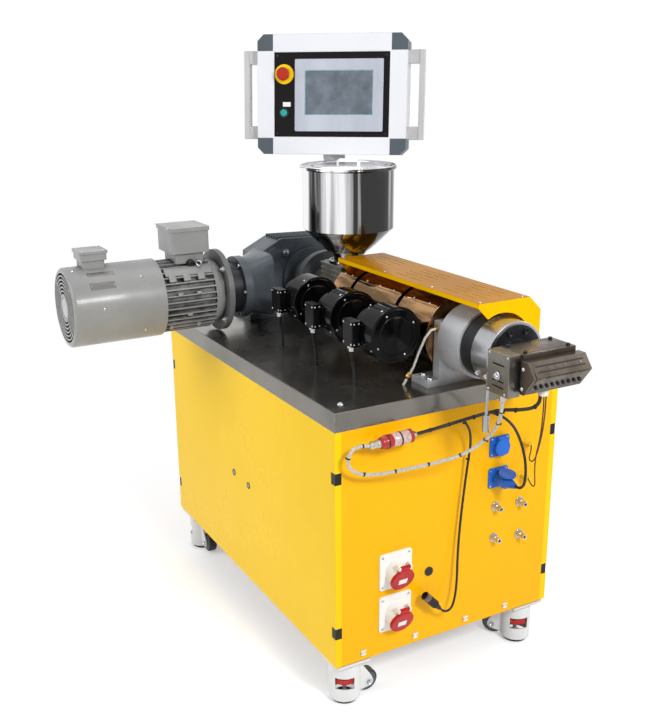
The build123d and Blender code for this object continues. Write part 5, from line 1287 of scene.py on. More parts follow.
    def build_flange(self) -> None:
        """Studs and nuts of the motor flange, and the eye bolt with its gland beside the terminal box."""
        nuts = []
        for turn in range(4):
            place = self.round_motor(self.flange_across, 45 + 90 * turn, self.flange_circle)
            nuts.append(screw(place, -ACROSS, 8.5, Head.HEX))
            nuts.append(lathe([(0, 0), (4.2, 0), (4.2, 11), (3.4, 12), (0, 12)], place, -ACROSS, 16))
        self.shop.add("flange_nuts", nuts, ZINC)
        stand, out = self.round_motor(-20, 55, self.stator_radius), polar(55, AHEAD)
        stem = lathe([(0, 0), (8, 0), (8, 2), (5, 3), (4, 9), (0, 9)], stand, out, 20)
        ring = bmesh.new()
        bmesh.ops.create_circle(ring, radius=2.6 * MM, segments=12, matrix=Matrix.Translation((0.0095, 0, 0)))
        bmesh.ops.spin(ring, geom=ring.verts[:] + ring.edges[:], cent=(0, 0, 0), axis=(0, 1, 0),
                       dvec=(0, 0, 0), angle=2 * pi, steps=32, use_merge=True)
        placed(settled(ring), stand + out * 0.019, facing(out))
        self.shop.add("lifting_eye", [stem, ring], ZINC)
        gland = [(0, 0), (13, 0), (13, 4), (11, 5), (11, 12), (7, 13), (6.5, 9), (0, 9)]
        place = spot(-self.motor_back + 48, -39, self.motor_height + 102)
        self.shop.add("motor_gland", [lathe(gland, place, AHEAD, 24)], BLACK_PLASTIC)

    def build_box_lids(self) -> None:
        """Screws on the lids of the two terminal boxes."""
        self.shop.screws("box_lid_screws", ZINC, [
            spot(-self.motor_back + sx * reach, across + sy * (reach - 2), top)
            for across, top, reach in ((-55.0, 1199.0, 54.0), (-330.0, 1152.0, 33.0)) for sx, sy in CORNERS
        ], UP, 4.0)

    def build_gearbox(self) -> None:
        """Bolts, seats, ribs and plate of the gearbox."""
        shop = self.shop
        bolts = [screw(spot(self.gearbox_face + 2.2, *at), AHEAD, 9.0, Head.HEX) for at in self.gearbox_bolts]
        for turn in range(6):
            place = off_axis(self.output_face, 60 * turn + 30, self.output_circle)
            bolts.append(screw(place, -AHEAD, 6.5, Head.SOCKET))
        for turn in range(6):
            place = self.round_motor(self.input_face, 60 * turn, self.input_circle)
            bolts.append(screw(place, -ACROSS, 6.0, Head.SOCKET))
        shop.add("gearbox_bolts", bolts, ZINC)
        ribs = [
            block(spot(ahead, 405, 1112.5), (5, 190, 9), Matrix.Rotation(-0.029, 4, "X"), 1.2)
            for ahead in range(-1012, -939, 18)
        ]
        ribs += [block(spot(ahead, 232, 975), (6, 8, 170), round_by=1.5) for ahead in (-935, -1009)]
        shop.add("gearbox_ribs", ribs, GEAR_ENAMEL)
        seat = [(0, 0), (15, 0), (13.5, 2.4), (0, 2.4)]
        seats = [lathe(seat, spot(self.gearbox_face, *at), AHEAD, 32) for at in self.gearbox_bolts]
        shop.add("gearbox_bolt_seats", seats, GEAR_ENAMEL)
        diamond = [(-44, 0), (0, -26), (44, 0), (0, 26)]
        plate = prism(diamond, spot(self.gearbox_face, 294, 1066), ACROSS, UP, 3.0, 0.8)
        shop.add("gearbox_plate", [plate], GEAR_ENAMEL)
        feet = [spot(-972, across, TABLE_TOP + 18) for across in (212, 542)]
        shop.screws("gearbox_foot_bolts", ZINC, feet, UP, 7.0, Head.HEX)


@dataclass
class Barrel:
    """Feed throat, heater covers, blowers, support and guard.

    Args:
        shop: Shared workshop.
        cover_spans: Start and end of each heater cover behind the front panel.
        cover_radius: Outer radius of the heater covers.
        seam_angle: Angle of the covers' seams, from straight across.
        blower_across: Across place of the blowers' axis.
        blower_height: Height of that axis.
        guard_top: Height of the top of the guard's sheet.
        adapter_face: Ahead place of the die adapter's ring of screws.
        adapter_circle: Radius of that ring.
        clamp_middle: Ahead place of the clamp ring's middle.
        clamp_radius: Radius at which its bolts sit.
        clamp_angle: Angle of its joint, from straight across.
        sheath: Points on the line of the armoured sensor sheath.
    """

    shop: Workshop
    cover_spans: Pairs = ((585.0, 490.0), (475.0, 250.0), (235.0, 76.0))
    cover_radius: float = 104.0
    seam_angle: float = 128.0
    blower_across: float = 226.0
    blower_height: float = 1000.0
    guard_top: float = 1104.5
    adapter_face: float = 156.0
    adapter_circle: float = 64.0
    clamp_middle: float = 120.0
    clamp_radius: float = 85.8
    clamp_angle: float = 212.0
    sheath: tuple[Triple, ...] = (
        (-60, 337, 1008), (-62, 322, 1005), (-69, 309, 985), (-79, 297, 945), (-87, 287, 905),
        (-92, 280, 888),
    )

    def build(self) -> None:
        """Dresses the barrel line and adds its screws, slots and rims."""
        shop = self.shop
        shop.dress(THROAT_CAST, "feed_throat")
        shop.dress(SUPPORT_CAST, "barrel_support")
        shop.add("throat_ribs", [
            block(spot(-655, AXIS_ACROSS, height), (128, 128, 6), round_by=1.4)
            for height in (1069, 1054, 1039, 1024)
        ], THROAT_CAST)
        shop.dress(DARK_STEEL, "barrel", "flange_band", "die_adapter")
        shop.dress(COVER_STEEL, "heater_covers")
        shop.dress(BRIGHT_STEEL, "clamp_ring")
        shop.dress(BLOWER_BLACK, "blowers")
        shop.dress(BLOWER_BOX, "blower_boxes")
        self.build_covers()
        self.build_blowers()
        self.build_support()
        self.build_guard()

    def build_covers(self) -> None:
        """Seam strips and screws of the heater covers."""
        strips, screws = [], []
        out = polar(self.seam_angle)
        for back, front in self.cover_spans:
            length = back - front
            centre = off_axis(-(back + front) / 2, self.seam_angle, self.cover_radius + 0.6)
            strips.append(block(centre, (length - 10, 14, 1.6), facing(out, AHEAD), 0.5))
            count = max(2, round(length / 70))
            for step in range(count):
                along = (step + 0.5) / count - 0.5
                screws.append(screw(centre + AHEAD * (along * (length - 14) * MM) + out * 0.0008, out, 3.6))
        self.shop.add("cover_seams", strips, COVER_STEEL)
        self.shop.add("cover_screws", screws, ZINC)

    def build_blowers(self) -> None:
        """Face rims, inlet grilles, band screws and terminal box screws of the blowers."""
        rims, hubs, screws = [], [], []
        rim = [(74.4, -6), (75.2, -6), (75.4, 0.6), (73.4, 1.6), (66, 1.6), (66, 0), (74, 0)]
        hub = [(0, 3.5), (16, 3.2), (26, 1.6), (44, 1.2), (52, 0.0), (0, 0)]
        for face in BLOWER_FACES:
            front = spot(-face, self.blower_across, self.blower_height)
            rims.append(lathe(rim, front, AHEAD, 72, True))
            hubs.append(lathe(hub, front, AHEAD, 56))
            for out in around(4, 28):
                screws.append(screw(front + out * 0.0745 - AHEAD * 0.012, out, 3.2))
                screws.append(screw(front + out * 0.060, AHEAD, 3.0))
            box = spot(-face - 85, self.blower_across - 81.0, self.blower_height)
            for along, up in CORNERS:
                corner = box + UP * (0.027 * up)
                screws.append(screw(corner - ACROSS * 0.013 + AHEAD * (0.019 * along), -ACROSS, 3.0))
                screws.append(screw(corner + AHEAD * 0.025 + ACROSS * (0.007 * along), AHEAD, 2.4))
        self.shop.add("blower_rims", rims, BLOWER_BLACK)
        self.shop.add("blower_hubs", hubs, BLOWER_BLACK)
        self.shop.add("blower_screws", screws, ZINC)

    def build_support(self) -> None:
        """Foot bolts and sensor of the barrel support, cap screws of the adapter and clamp."""
        shop = self.shop
        feet = ((-102, 330), (-102, 514), (-60, 321), (-60, 523))
        shop.screws("support_bolts", ZINC, [spot(*foot, TABLE_TOP + 17) for foot in feet], UP, 7.5, Head.HEX)
        ring = [off_axis(self.adapter_face, 45 * turn + 22.5, self.adapter_circle) for turn in range(8)]
        shop.screws("adapter_screws", DARK_STEEL, ring, AHEAD, 6.5, Head.SOCKET)
        lines = (self.sheath, ((-96, 272, 872), (-98, 268, 863), (-100, 264, 855)))
        shop.add("sensor_sheath", [
            tube([spot(*point) for point in line], [3.4] * len(line), 12) for line in lines
        ], CABLE_WHITE)
        way = spot(-96, 272, 872) - spot(-91, 281, 890)
        collar = [(0, 0), (5.5, 0), (6.5, 2), (6.5, 7), (5.2, 8), (7.2, 9), (7.2, 15), (5, 18), (0, 18)]
        fitting = lathe(collar, spot(-91, 281, 891), way, 20)
        shop.add("sensor_fitting", [fitting, screw(spot(-60, 340, 1008), -ACROSS, 7.0, Head.HEX)], BRASS)
        clamps = [
            off_axis(self.clamp_middle + shift, self.clamp_angle, self.clamp_radius) for shift in (-17, 17)
        ]
        shop.screws("clamp_bolts", ZINC, clamps, polar(self.clamp_angle), 6.0, Head.SOCKET)

    def build_guard(self) -> None:
        """Copies the guard, cuts its air slots and hangs its screws and hinges on it."""
        shop = self.shop
        guard = shop.add("guard_sheet", [shop.copy_of("guard")], GUARD_COAT, replaces=["guard"])
        slots = [
            spot(start + 74 * column + 13 * (row % 2), 378 + 23 * row, self.guard_top)
            for start in (-518.0, -288.0, -58.0) for row in range(5) for column in range(2)
        ]
        shop.cut(guard, [block(slot, (62, 3.6, 14)) for slot in slots])
        places = ((-575, 360), (-575, 494), (-345, 360), (-116, 360), (86, 360), (86, 494))
        shop.screws("guard_screws", ZINC, [spot(*place, self.guard_top) for place in places], UP, 3.6)
        hinges = []
        for ahead in (-440.0, -60.0):
            hinges.append(block(spot(ahead, 544.0, 1040.0), (92, 2.0, 30), round_by=0.6))
            hinges.append(hoop((0, 3.2), (0, 92), spot(ahead - 46, 543.5, 1056.0), AHEAD, 20))
        shop.add("guard_hinges", hinges, BLACK_PLASTIC)


@dataclass
class Die:
    """Sheet die with its plates and terminal box.

    Args:
        shop: Shared workshop.
        back: Where the die starts ahead of the front panel.
        front: Where its nose starts.
        near: Across place of its operator's side.
        far: Across place of its other side.
        top: Height of its top.
        box_near: Across place of the terminal box's near side.
    """

    shop: Workshop
    back: float = 190.0
    front: float = 276.0
    near: float = 343.0
    far: float = 501.0
    top: float = 1023.0
    box_near: float = 308.0

    def build(self) -> None:
        """Dresses the die and adds bolts, lips and the terminal box's screws."""
        shop = self.shop
        shop.dress(DIE_STEEL, "die_body", "die_plates")
        shop.dress(BOX_SHEET, "die_terminal_box")
        bolts = [
            screw(spot(ahead, across, self.top), UP, 5.0, Head.SOCKET)
            for ahead in (self.back + 12, self.front - 12) for across in (self.near + 14, self.far - 14)
        ]
        under = Vector((45.0, 0.0, -36.0)).normalized()
        row = [spot(307.5, self.near + 13 + 16.5 * place, 951) for place in range(9)]
        bolts += [screw(place, under, 4.4, Head.SOCKET) for place in row]
        shop.add("die_bolts", bolts, DARK_STEEL)
        slope = Vector((30.0, 0.0, 25.0)).normalized()
        lip = [spot(313.5, self.near + 20 + 23.6 * place, 996) for place in range(6)]
        shop.screws("die_lip_screws", DIE_STEEL, lip, slope, 3.2)
        shop.add("die_end_screws", [
            screw(spot(ahead, across, height), out, 5.0)
            for across, out in ((self.near - 8, -ACROSS), (self.far + 8, ACROSS))
            for ahead, height in ((286, 992), (284, 944))
        ], ZINC)
        corners = ((196, 1016), (256, 926), (262, 1016), (196, 926))
        side = [spot(ahead, self.box_near, height) for ahead, height in corners]
        shop.screws("die_box_screws", ZINC, side, -ACROSS, 3.2)
        face = spot(229.5, self.box_near, 966)
        fitting = lathe([(0, 0), (9, 0), (9, 3), (6.5, 4), (6.5, 9), (5, 11), (0, 11)], face, -ACROSS, 24)
        shop.add("die_box_fitting", [fitting, screw(face - ACROSS * 0.002, -ACROSS, 8.0, Head.HEX)], ZINC)


@dataclass
class Hopper:
    """Polished hopper with its lid.

    Args:
        shop: Shared workshop.
        back: Distance of its axis behind the front panel.
        foot: Height of its flange.
        top: Height of its rim.
    """

    shop: Workshop
    back: float = 655.0
    foot: float = 1081.0
    top: float = 1370.0

    def build(self) -> None:
        """Dresses the hopper, and adds its flange bolts and the lid's pressed step."""
        shop = self.shop
        shop.dress(HOPPER_STEEL, "hopper")
        shop.dress(LID_STEEL, "hopper_lid")
        foot = spot(-self.back, AXIS_ACROSS, self.foot)
        bolts = [foot + out * 0.053 for out in around(4, 45, AHEAD, ACROSS)]
        shop.screws("hopper_bolts", ZINC, bolts, UP, 4.0, Head.HEX)
        rise = spot(-self.back, AXIS_ACROSS, self.top + 2.5)
        step = lathe([(96, 0), (98, 2.0), (118, 2.4), (121, 0)], rise, UP, 96, True)
        shop.add("lid_step", [step], LID_STEEL)


@dataclass
class PanelBox:
    """Control box with its screen and buttons.

    Args:
        shop: Shared workshop.
        centre: Ahead, across and height of the middle of its face.
        turn: Direction of the face in degrees from straight ahead.
        tilt: How far the face looks up, in degrees.
    """

    shop: Workshop
    centre: Triple = (-803.4, 447.9, 1571.6)
    turn: float = -39.9
    tilt: float = 5.2

    def __post_init__(self) -> None:
        """Works out the directions of the face."""
        turn, tilt = radians(self.turn), radians(self.tilt)
        self.out = Vector((cos(tilt) * cos(turn), cos(tilt) * sin(turn), sin(tilt)))
        self.right = Vector((-sin(turn), cos(turn), 0))
        self.up = self.out.cross(self.right)

    def on_face(self, x: float, y: float, depth: float) -> Vector:
        """Place on the face, right, up and out from its middle in millimetres."""
        return spot(*self.centre) + (self.right * x + self.up * y + self.out * depth) * MM

    def plate(self, place: Triple, size: Triple, round_by: float, segments: int = 2) -> Shape:
        """Plate that lies in the face."""
        return block(self.on_face(*place), size, facing(self.out, self.right), round_by, segments)

    def build(self) -> None:
        """Dresses the box and adds its glass, back cover, label plate and screws."""
        shop = self.shop
        shop.dress(BOX_COAT, "box_frame")
        shop.dress(CORNER_GREY, "box_corners")
        shop.dress(PANEL_BLACK, "box_panel")
        shop.dress(BEZEL_SILVER, "screen_bezel")
        shop.dress(COLLAR_YELLOW, "button_collars")
        shop.dress(BUTTON_RED, "stop_button")
        shop.dress(BUTTON_TEAL, "start_button")
        shop.dress(HANDLE_GREY, "box_handles", "box_swivel")
        shop.dress(BOX_COAT, "panel_post")
        body = "panel_box"
        shop.add("screen_glass", [self.plate((24, 6, 2.4), (212, 132, 0.7), 0.3, 1)], SCREEN_GLASS, body)
        # Pale cyan strips round the glass: painted glint on its edges.
        rim = [self.plate((24, 6 + 67 * way, 2.5), (216, 2.4, 1.1), 0.3, 1) for way in (-1, 1)]
        rim += [self.plate((24 + 107 * way, 6, 2.5), (2.4, 136, 1.1), 0.3, 1) for way in (-1, 1)]
        shop.add("screen_rim", rim, SCREEN_EDGE_GLINT, body)
        shop.add("back_cover", [self.plate((0, 0, -94.6), (360, 252, 1.6), 0.6)], BOX_COAT, body)
        locks = [self.on_face(sx * 165, sy * 112, -95.4) for sx, sy in CORNERS]
        shop.screws("back_cover_screws", ZINC, locks, -self.out, 4.0, body=body)
        shop.add("button_label", [self.plate((-142, -29, -1.5), (25, 14, 1.0), 0.4)], PALE_PLASTIC, body)
        corners = [self.on_face(sx * 172, sy * 118, -2) for sx, sy in CORNERS]
        shop.screws("panel_screws", DARK_STEEL, corners, self.out, 3.0, Head.SOCKET, body)


@dataclass
class Cord:
    """A lead, drawn as a fixed curve along the same route as its solid.

    Args:
        name: Name of the piece.
        route: Ahead, across and height of each point that shapes the line.
        diameter: Diameter in millimetres.
        length: Length in millimetres; not used.
        far_end: What its far end is; not used.
        finish: Its finish.
        replaces: Solids that it stands for.
    """

    name: str
    route: tuple[Triple, ...]
    diameter: float
    length: float
    far_end: str
    finish: Finish
    replaces: tuple[str, ...]

    def thread(self, name: str) -> bpy.types.Curve:
        """Smooth line of the lead, without thickness.

        Args:
            name: Name of the curve.

        Returns:
            The curve.
        """
        curve = bpy.data.curves.new(name, "CURVE")
        curve.dimensions = "3D"
        curve.resolution_u = 16
        spline = curve.splines.new("NURBS")
        spline.points.add(len(self.route) - 1)
        for point, place in zip(spline.points, self.route):
            point.co = spot(*place).to_4d()
        spline.order_u = 3
        spline.use_endpoint_u = True
        return curve

    def build(self, shop: Workshop, carried: Sequence[Thing] = ()) -> None:
        """Args:
            shop: Shared workshop.
            carried: Pieces on the lead; not used.
        """
        curve = self.thread(self.name)
        curve.bevel_depth = self.diameter / 2 * MM
        curve.bevel_resolution = 4
        curve.use_fill_caps = True
        curve.materials.append(shop.paints.material(self.finish))
        lead = bpy.data.objects.new(self.name, curve)
        bpy.context.scene.collection.objects.link(lead)
        shop.hang(lead, "machine", self.replaces)

    def line(self) -> list[Vector]:
        """Reads points from the lead's own smooth line.

        Returns:
            The points, in row-frame metres.
        """
        curve = self.thread("line")
        holder = bpy.data.objects.new("line", curve)
        mesh = bpy.data.meshes.new_from_object(holder)
        points = [v.co.copy() for v in mesh.vertices]
        bpy.data.objects.remove(holder)
        bpy.data.curves.remove(curve)
        bpy.data.meshes.remove(mesh)
        return points

    def at(self, distance: float) -> tuple[Vector, Vector]:
        """Place and direction on the lead at a distance from its start.

        Args:
            distance: Millimetres along the lead.

        Returns:
            The place, and the direction in which the lead runs there.
        """
        left = distance * MM
        points = self.line()
        for first, second in zip(points, points[1:]):
            run = (second - first).length
            if left <= run:
                return first.lerp(second, left / run), (second - first).normalized()
            left -= run
        return points[-1], (points[-1] - points[-2]).normalized()

    def relief(self, shop: Workshop, length: float, steps: int = 7) -> Thing:
        """Tapered strain relief over the first part of the lead.

        Args:
            shop: Shared workshop.
            length: Its length in millimetres.
            steps: Rings along it.

        Returns:
            The relief.
        """
        shares = [step / (steps - 1) for step in range(steps)]
        points = [self.at(length * share)[0] for share in shares]
        radii = [self.diameter / 2 * (1.55 - 0.5 * share) for share in shares]
        return shop.add(f"{self.name}_relief", [tube(points, radii)], BLACK_PLASTIC)

    def ties(self, shop: Workshop, *distances: float) -> Thing:
        """Cable ties round the lead.

        Args:
            shop: Shared workshop.
            distances: Where they sit, in millimetres along the lead.

        Returns:
            The ties as one piece.
        """
        rings = []
        radius = self.diameter / 2
        for distance in distances:
            place, way = self.at(distance)
            rings.append(hoop((radius - 0.4, radius + 0.9), (-1.8, 1.8), place, way, 24))
            lock = place + way.orthogonal().normalized() * ((radius + 1.8) * MM)
            rings.append(block(lock, (4.5, 4.0, 4.5), facing(way), 0.7, 1))
        return shop.add(f"{self.name}_ties", rings, BLACK_PLASTIC)


DIE_CABLE = Cord(
    "die_loom",
    ((266, 409, 912), (266, 409, 899), (261, 407, 886.5), (251, 403, 876), (231, 395, 867), (200, 390, 857),
     (160, 386, 845), (112, 378, 824), (74, 360, 803), (50, 331, 788), (41, 290, 780), (40.5, 251, 777),
     (40, 212, 775)),
    9.0, 399.0, "connector", CABLE_BLACK, ("die_cable",),
)
BOX_CABLE = Cord(
    "box_loom",
    ((37.5, 76, 769), (36, 58, 773), (34, 38, 771), (33, 23, 758), (33, 17, 739), (34, 22, 720),
     (36, 37, 706), (40, 61, 697), (46, 99, 692), (54, 149, 693), (64, 205, 697), (78, 262, 703),
     (98, 315, 718), (125, 350, 750), (165, 359, 797), (203, 343, 843), (222, 329, 866), (229, 325.5, 884),
     (229.5, 325.5, 900)),
    9.0, 650.0, "object", CABLE_WHITE, ("box_cable",),
)
HANGING_CABLE = Cord(
    "hanging_lead",
    ((55.5, 345.5, 792), (50, 364, 774), (38, 384, 746), (26, 396, 703), (20, 394, 653), (18, 387, 581),
     (18, 378, 490), (21, 370, 395), (26, 367, 325), (31, 361, 279), (35, 349, 242), (37, 334.5, 232.5),
     (37, 317, 234.5), (37, 305.5, 247.5)),
    6.5, 624.0, "plug", CABLE_BLACK, ("hanging_cable",),
)
SUPPLY_CABLE = Cord(
    "supply_lead",
    ((123.6, 385.5, 826), (122, 410, 815), (119, 441, 793), (114, 470, 763), (108, 496, 720), (107, 512, 676),
     (111, 515, 637), (112.5, 513, 604), (105, 512.5, 587), (91, 512.5, 577.5), (76, 512.5, 577)),
    7.5, 326.0, "object", CABLE_BLACK, ("supply_cable",),
)
UPPER_LEAD = Cord(
    "upper_sensor_lead",
    ((275, 419, 912), (274, 420, 890), (268, 425, 860), (255, 434, 822), (234, 449, 782), (207, 466, 741),
     (180, 484, 705), (150, 502, 679), (116, 522, 664), (82, 549, 656), (53, 581, 657), (30, 601, 661)),
    3.5, 445.0, "object", LEAD_BROWN, ("thermocouple_leads",),
)
LOWER_LEAD = Cord(
    "lower_sensor_lead",
    ((275, 412, 912), (275, 413, 888), (270, 417, 858), (258, 426, 818), (237, 441, 776), (209, 459, 731),
     (184, 479, 690), (163, 499, 648), (141, 522, 611), (112, 547, 584), (80, 569, 567), (51, 586, 560),
     (30, 597, 563)),
    3.5, 501.0, "object", LEAD_BROWN, ("thermocouple_leads",),
)


@dataclass
class FrontPanel:
    """Sockets, couplings and leads at the front of the machine.

    Args:
        shop: Shared workshop.
        socket_across: Across place of the round power sockets.
        socket_heights: Heights of the two power sockets.
        tilt: How far the sockets look down, in degrees.
        supply_across: Across place of the blue sockets.
        supply_heights: Heights of the two blue sockets.
        blower_lead_drop: Sideways and downward shift of each point of a blower's lead.
    """

    shop: Workshop
    socket_across: float = 181.0
    socket_heights: Pair = (385.5, 260.0)
    tilt: float = 20.0
    supply_across: float = 512.5
    supply_heights: Pair = (669.0, 577.0)
    blower_lead_drop: Pairs = ((0, 0), (1, 24), (7, 50), (9, 74), (8, 95))

    def build(self) -> None:
        """Dresses the sockets and lays the leads."""
        shop = self.shop
        shop.dress(SOCKET_WHITE, "power_sockets")
        shop.dress(LID_RED, "power_lid_upper", "power_lid_lower")
        shop.dress(SOCKET_BLUE, "supply_sockets", "supply_lid_upper")
        shop.dress(FITTINGS, "panel_fittings")
        self.build_power_sockets()
        self.build_supply_sockets()
        self.build_leads()

    def build_power_sockets(self) -> None:
        """Flange screws, contacts and blank label plates of the power sockets."""
        out, up = polar(-self.tilt, AHEAD), polar(90 - self.tilt, AHEAD)
        screws, pins, inserts = [], [], []
        pin = [(0, 0), (2.6, 0), (2.6, 13), (1.8, 15), (0, 15)]
        for name, height in zip(("upper", "lower"), self.socket_heights):
            root = spot(0, self.socket_across, height)
            face = root + out * 0.012
            screws += [
                screw(root + ACROSS * (0.041 * sy) + UP * (0.0435 * sz) + AHEAD * 0.005, AHEAD, 4.0)
                for sy, sz in CORNERS
            ]
            pins += [lathe(pin, face + spoke * 0.016, out, 16) for spoke in around(5, 90, ACROSS, up)]
            inserts.append(hoop((0, 26.6), (0, 2.4), face, out, 40))
            label = block(root + out * 0.0437 - up * 0.004, (26, 17, 1.0), facing(out, ACROSS), 0.4)
            self.shop.add(f"lid_label_{name}", [label], PALE_PLASTIC, f"power_lid_{name}")
        self.shop.add("socket_screws", screws, ZINC)
        self.shop.add("socket_contacts", pins, BRASS)
        self.shop.add("socket_inserts", inserts, BLACK_PLASTIC)

    def build_supply_sockets(self) -> None:
        """Screws of the blue sockets and the rings of the plug in the lower one."""
        self.shop.screws("supply_screws", ZINC, [
            spot(4, self.supply_across + 26 * sy, height + 22.5 * sz)
            for height in self.supply_heights for sy, sz in CORNERS
        ], AHEAD, 2.8)
        start = spot(14.5, self.supply_across, self.supply_heights[1])
        self.shop.add("plug_grips", [
            lathe([(20.8, at), (21.9, at + 0.6), (21.9, at + 2.2), (20.8, at + 2.8)], start, AHEAD, 48, True)
            for at in (3.0, 8.0, 13.0, 18.0)
        ], SOCKET_BLUE)

    def build_leads(self) -> None:
        """Lays every lead with its ties, reliefs and end pieces."""
        shop = self.shop
        coupling = self.coupling()
        plug = self.hanging_plug()
        DIE_CABLE.build(shop, [DIE_CABLE.ties(shop, 34, 92, 160, 232, 300, 356), *coupling])
        BOX_CABLE.build(shop, [BOX_CABLE.ties(shop, 18, 70, 140, 225, 315, 400, 480, 560, 618)])
        HANGING_CABLE.build(shop, [HANGING_CABLE.ties(shop, 14, 150), plug])
        SUPPLY_CABLE.build(shop, [SUPPLY_CABLE.ties(shop, 16)])
        UPPER_LEAD.build(shop)
        LOWER_LEAD.build(shop)
        for number, face in enumerate(BLOWER_FACES, 1):
            route = tuple((-face - 85, 145 + aside, 950 - down) for aside, down in self.blower_lead_drop)
            lead = Cord(f"blower_lead_{number}", route, 8.0, 96.0, "object", CABLE_BLACK, ("blower_leads",))
            lead.build(shop, [lead.relief(shop, 30)])

    def coupling(self) -> list[Thing]:
        """Makes the clear and red coupling between the two halves of the loom.

        Returns:
            Its pieces.
        """
        shop = self.shop
        start, middle, end = spot(40, 212, 775), spot(38.3, 105, 770), spot(37.5, 76, 769)
        way = middle - start
        long = way.length / MM
        clear = lathe([(0, 22), (15.4, 22), (17.4, 25), (17.4, 70), (15.4, 73), (0, 73)], start, way, 48)
        rear = [(0, 71), (16, 71), (17.8, 74), (17.8, long - 14), (15, long - 10), (15, long - 4), (12, long),
                (0, long)]
        red = [
            lathe([(0, 12), (13, 12), (17.8, 15), (17.8, 21), (15.6, 24), (0, 24)], start, way, 48),
            lathe(rear, start, way, 48),
        ]
        ties = [
            lathe([(17.0, at), (18.3, at + 0.5), (18.3, at + 4.0), (17.0, at + 4.5)], start, way, 48, True)
            for at in (47.0, 84.0)
        ]
        throat = lathe([(0, 0), (7, 0), (9, 3), (13.4, 12), (0, 12)], start, way, 32)
        stem = [(0, 0), (11, 0), (11, 7), (9, 8), (9, 18), (10.4, 19), (10.4, 24), (6, 29), (0, 29)]
        return [
            shop.add("loom_coupling", [clear], COUPLING_CLEAR, replaces=["cable_fittings"]),
            shop.add("loom_coupling_ends", red, COUPLING_RED),
            shop.add("loom_coupling_ties", ties, BLACK_PLASTIC),
            shop.add("loom_coupling_necks", [throat, lathe(stem, middle, end - middle, 32)], NICKEL),
        ]

    def hanging_plug(self) -> Thing:
        """Makes the black plug at the end of the hanging lead.

        Returns:
            Its shell.
        """
        start, middle, end = spot(37, 305.5, 247.5), spot(36, 292, 262), spot(33, 255, 301)
        neck = lathe([(0, 0), (4.2, 0), (6.0, 6), (8.2, 18), (8.4, 20), (0, 20)], start, middle - start, 28)
        shell = [(0, 0), (9.5, 0), (11.8, 3), (11.8, 20), (11.0, 21), (11.0, 24), (11.8, 25), (11.8, 48),
                 (10.5, 53), (9.0, 53), (9.0, 47), (0, 47)]
        way = (end - middle).normalized()
        nut = [(9.2, 0), (12.4, 0), (12.4, 15), (11.4, 16), (9.2, 16)]
        ring = lathe(nut, end - way * 0.0175, way, 40, True)
        parts = [neck, lathe(shell, middle, end - middle, 40)]
        plug = self.shop.add("hanging_plug", parts, BLACK_PLASTIC, replaces=["cable_fittings"])
        self.shop.add("hanging_plug_ring", [ring], CLEAR_SMOKE)
        return plug


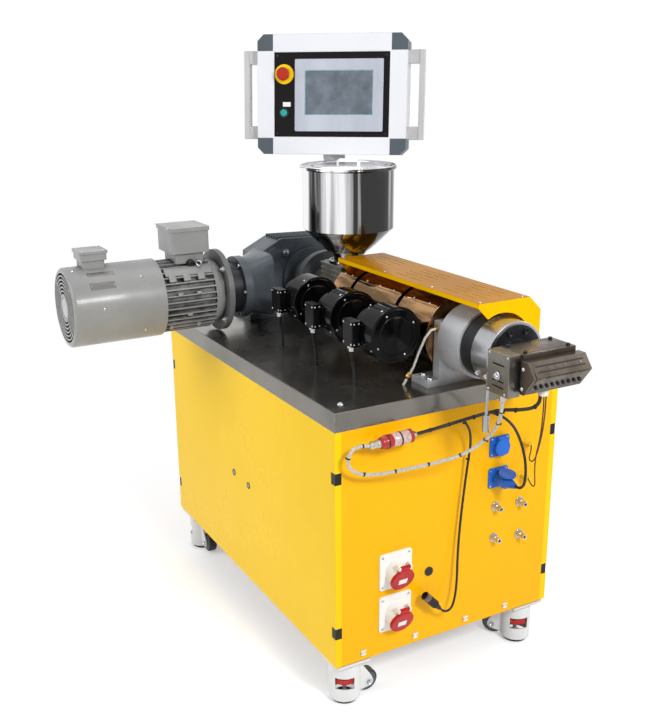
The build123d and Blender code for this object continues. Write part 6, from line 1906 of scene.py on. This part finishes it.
@dataclass
class Studio:
    """Floor, lamps, surroundings and camera.

    Args:
        location: Camera place in row-frame metres.
        look: Direction of the camera.
        upright: The camera's own up direction.
        lens: Focal length in millimetres on the long side of 36.
        aim: Point that the lamps face.
        lights: Name, place, size and power of each lamp.
    """

    location: Triple = (2.3146, -1.2272, 1.6667)
    look: Triple = (-0.8374, 0.4602, -0.2948)
    upright: Triple = (-0.2542, 0.1496, 0.9555)
    lens: float = 48.2
    aim: Triple = (0.0, 0.0, 0.9)
    lights: tuple[tuple[str, Triple, float, float], ...] = (
        ("key", (3.1, 0.2, 2.7), 0.7, 80.0),
        ("fill", (1.4, 3.0, 2.0), 2.0, 16.0),
        ("top", (-0.4, -0.2, 3.6), 2.0, 16.0),
        ("side", (-0.9, -3.1, 1.9), 1.6, 46.0),
    )

    WHITE = (1.0, 1.0, 1.0, 1.0)

    def build(self) -> None:
        """Sets up the whole studio."""
        self.floor()
        self.surroundings()
        for light in self.lights:
            self.lamp(*light)
        self.camera()
        bpy.context.scene.view_settings.view_transform = "Standard"

    def floor(self) -> None:
        """Pale floor that fades into the white surroundings away from the machine."""
        part = bmesh.new()
        bmesh.ops.create_circle(part, cap_ends=True, radius=30.0, segments=64)
        floor = stored("studio_floor", [part])
        material = bpy.data.materials.new("studio_floor")
        tree = blank_tree(material)
        place = add_node(tree, "TexCoord").outputs["Object"]
        away = combine(tree, "LENGTH", place).outputs["Value"]
        fade = add_node(tree, "MapRange", {"Value": away, "From Min": 0.75, "From Max": 1.7},
                        interpolation_type="SMOOTHSTEP").outputs[0]
        seen = self.background_rays(tree)
        share = compute(tree, "MULTIPLY", fade, seen)
        lift = compute(tree, "MULTIPLY", seen, 0.35)
        matt = add_node(tree, "BsdfDiffuse", {"Color": (0.9, 0.9, 0.9, 1.0)}).outputs[0]
        white = add_node(tree, "Emission", {"Color": self.WHITE, "Strength": 1.0}).outputs[0]
        glow = add_node(tree, "Emission", {"Color": self.WHITE, "Strength": lift}).outputs[0]
        pale = add_node(tree, "AddShader", {0: matt, 1: glow}).outputs[0]
        mix = add_node(tree, "MixShader", {0: share, 1: pale, 2: white}).outputs[0]
        add_node(tree, "OutputMaterial", {"Surface": mix})
        floor.data.materials.append(material)

    @staticmethod
    def background_rays(tree: Tree) -> Any:
        """Socket that is 1 for rays that show the background, straight or in metal and glass.

        Args:
            tree: Node tree that takes the nodes.

        Returns:
            The socket.
        """
        path = add_node(tree, "LightPath").outputs
        first = compute(tree, "MAXIMUM", path["Is Camera Ray"], path["Is Glossy Ray"])
        return compute(tree, "MAXIMUM", first, path["Is Transmission Ray"])

    def surroundings(self) -> None:
        """White surroundings that light the machine softly."""
        world = bpy.data.worlds.new("studio")
        tree = blank_tree(world)
        seen = self.background_rays(tree)
        dim = add_node(tree, "Background", {"Color": (0.86, 0.88, 0.92, 1.0), "Strength": 0.5}).outputs[0]
        white = add_node(tree, "Background", {"Color": self.WHITE, "Strength": 1.0}).outputs[0]
        mix = add_node(tree, "MixShader", {0: seen, 1: dim, 2: white}).outputs[0]
        add_node(tree, "OutputWorld", {"Surface": mix})
        bpy.context.scene.world = world

    def lamp(self, name: str, place: Triple, size: float, power: float) -> None:
        """Square lamp that faces the machine.

        Args:
            name: Name of the lamp.
            place: Where it stands, in row-frame metres.
            size: Length of its side in metres.
            power: Its power in watts.
        """
        lamp = bpy.data.lights.new(name, "AREA")
        lamp.shape = "SQUARE"
        lamp.size = size
        lamp.energy = power
        self.hold(name, lamp, place, (Vector(self.aim) - Vector(place)).to_track_quat("-Z", "Y"))

    def camera(self) -> None:
        """Camera at the photograph's viewing angle."""
        data = bpy.data.cameras.new("camera")
        data.lens = self.lens
        data.sensor_width = 36.0
        back = -Vector(self.look).normalized()
        side = Vector(self.upright).cross(back).normalized()
        turn = Matrix((side, back.cross(side), back)).transposed()
        bpy.context.scene.camera = self.hold("camera", data, self.location, turn.to_quaternion())

    @staticmethod
    def hold(name: str, data: Any, place: Triple, turn: Any) -> Thing:
        """Sets a lamp or camera up in the scene.

        Args:
            name: Name of its object.
            data: The lamp or camera.
            place: Where it stands, in row-frame metres.
            turn: Its rotation as a quaternion.

        Returns:
            Its object.
        """
        holder = bpy.data.objects.new(name, data)
        holder.location = place
        holder.rotation_mode = "QUATERNION"
        holder.rotation_quaternion = turn
        bpy.context.scene.collection.objects.link(holder)
        return holder


def main() -> None:
    """Builds the sub-assemblies in order."""
    logging.basicConfig(level=logging.INFO, format="%(name)s: %(message)s")
    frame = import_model()
    shop = Workshop(frame, PaintShop())
    for assembly in (Cabinet, Drive, Barrel, Die, Hopper, PanelBox, FrontPanel):
        assembly(shop).build()
        LOG.info("%s is built", assembly.__name__)
    Studio().build()
    LOG.info("%d pieces", len(shop.made))


if __name__ == "__main__":
    main()
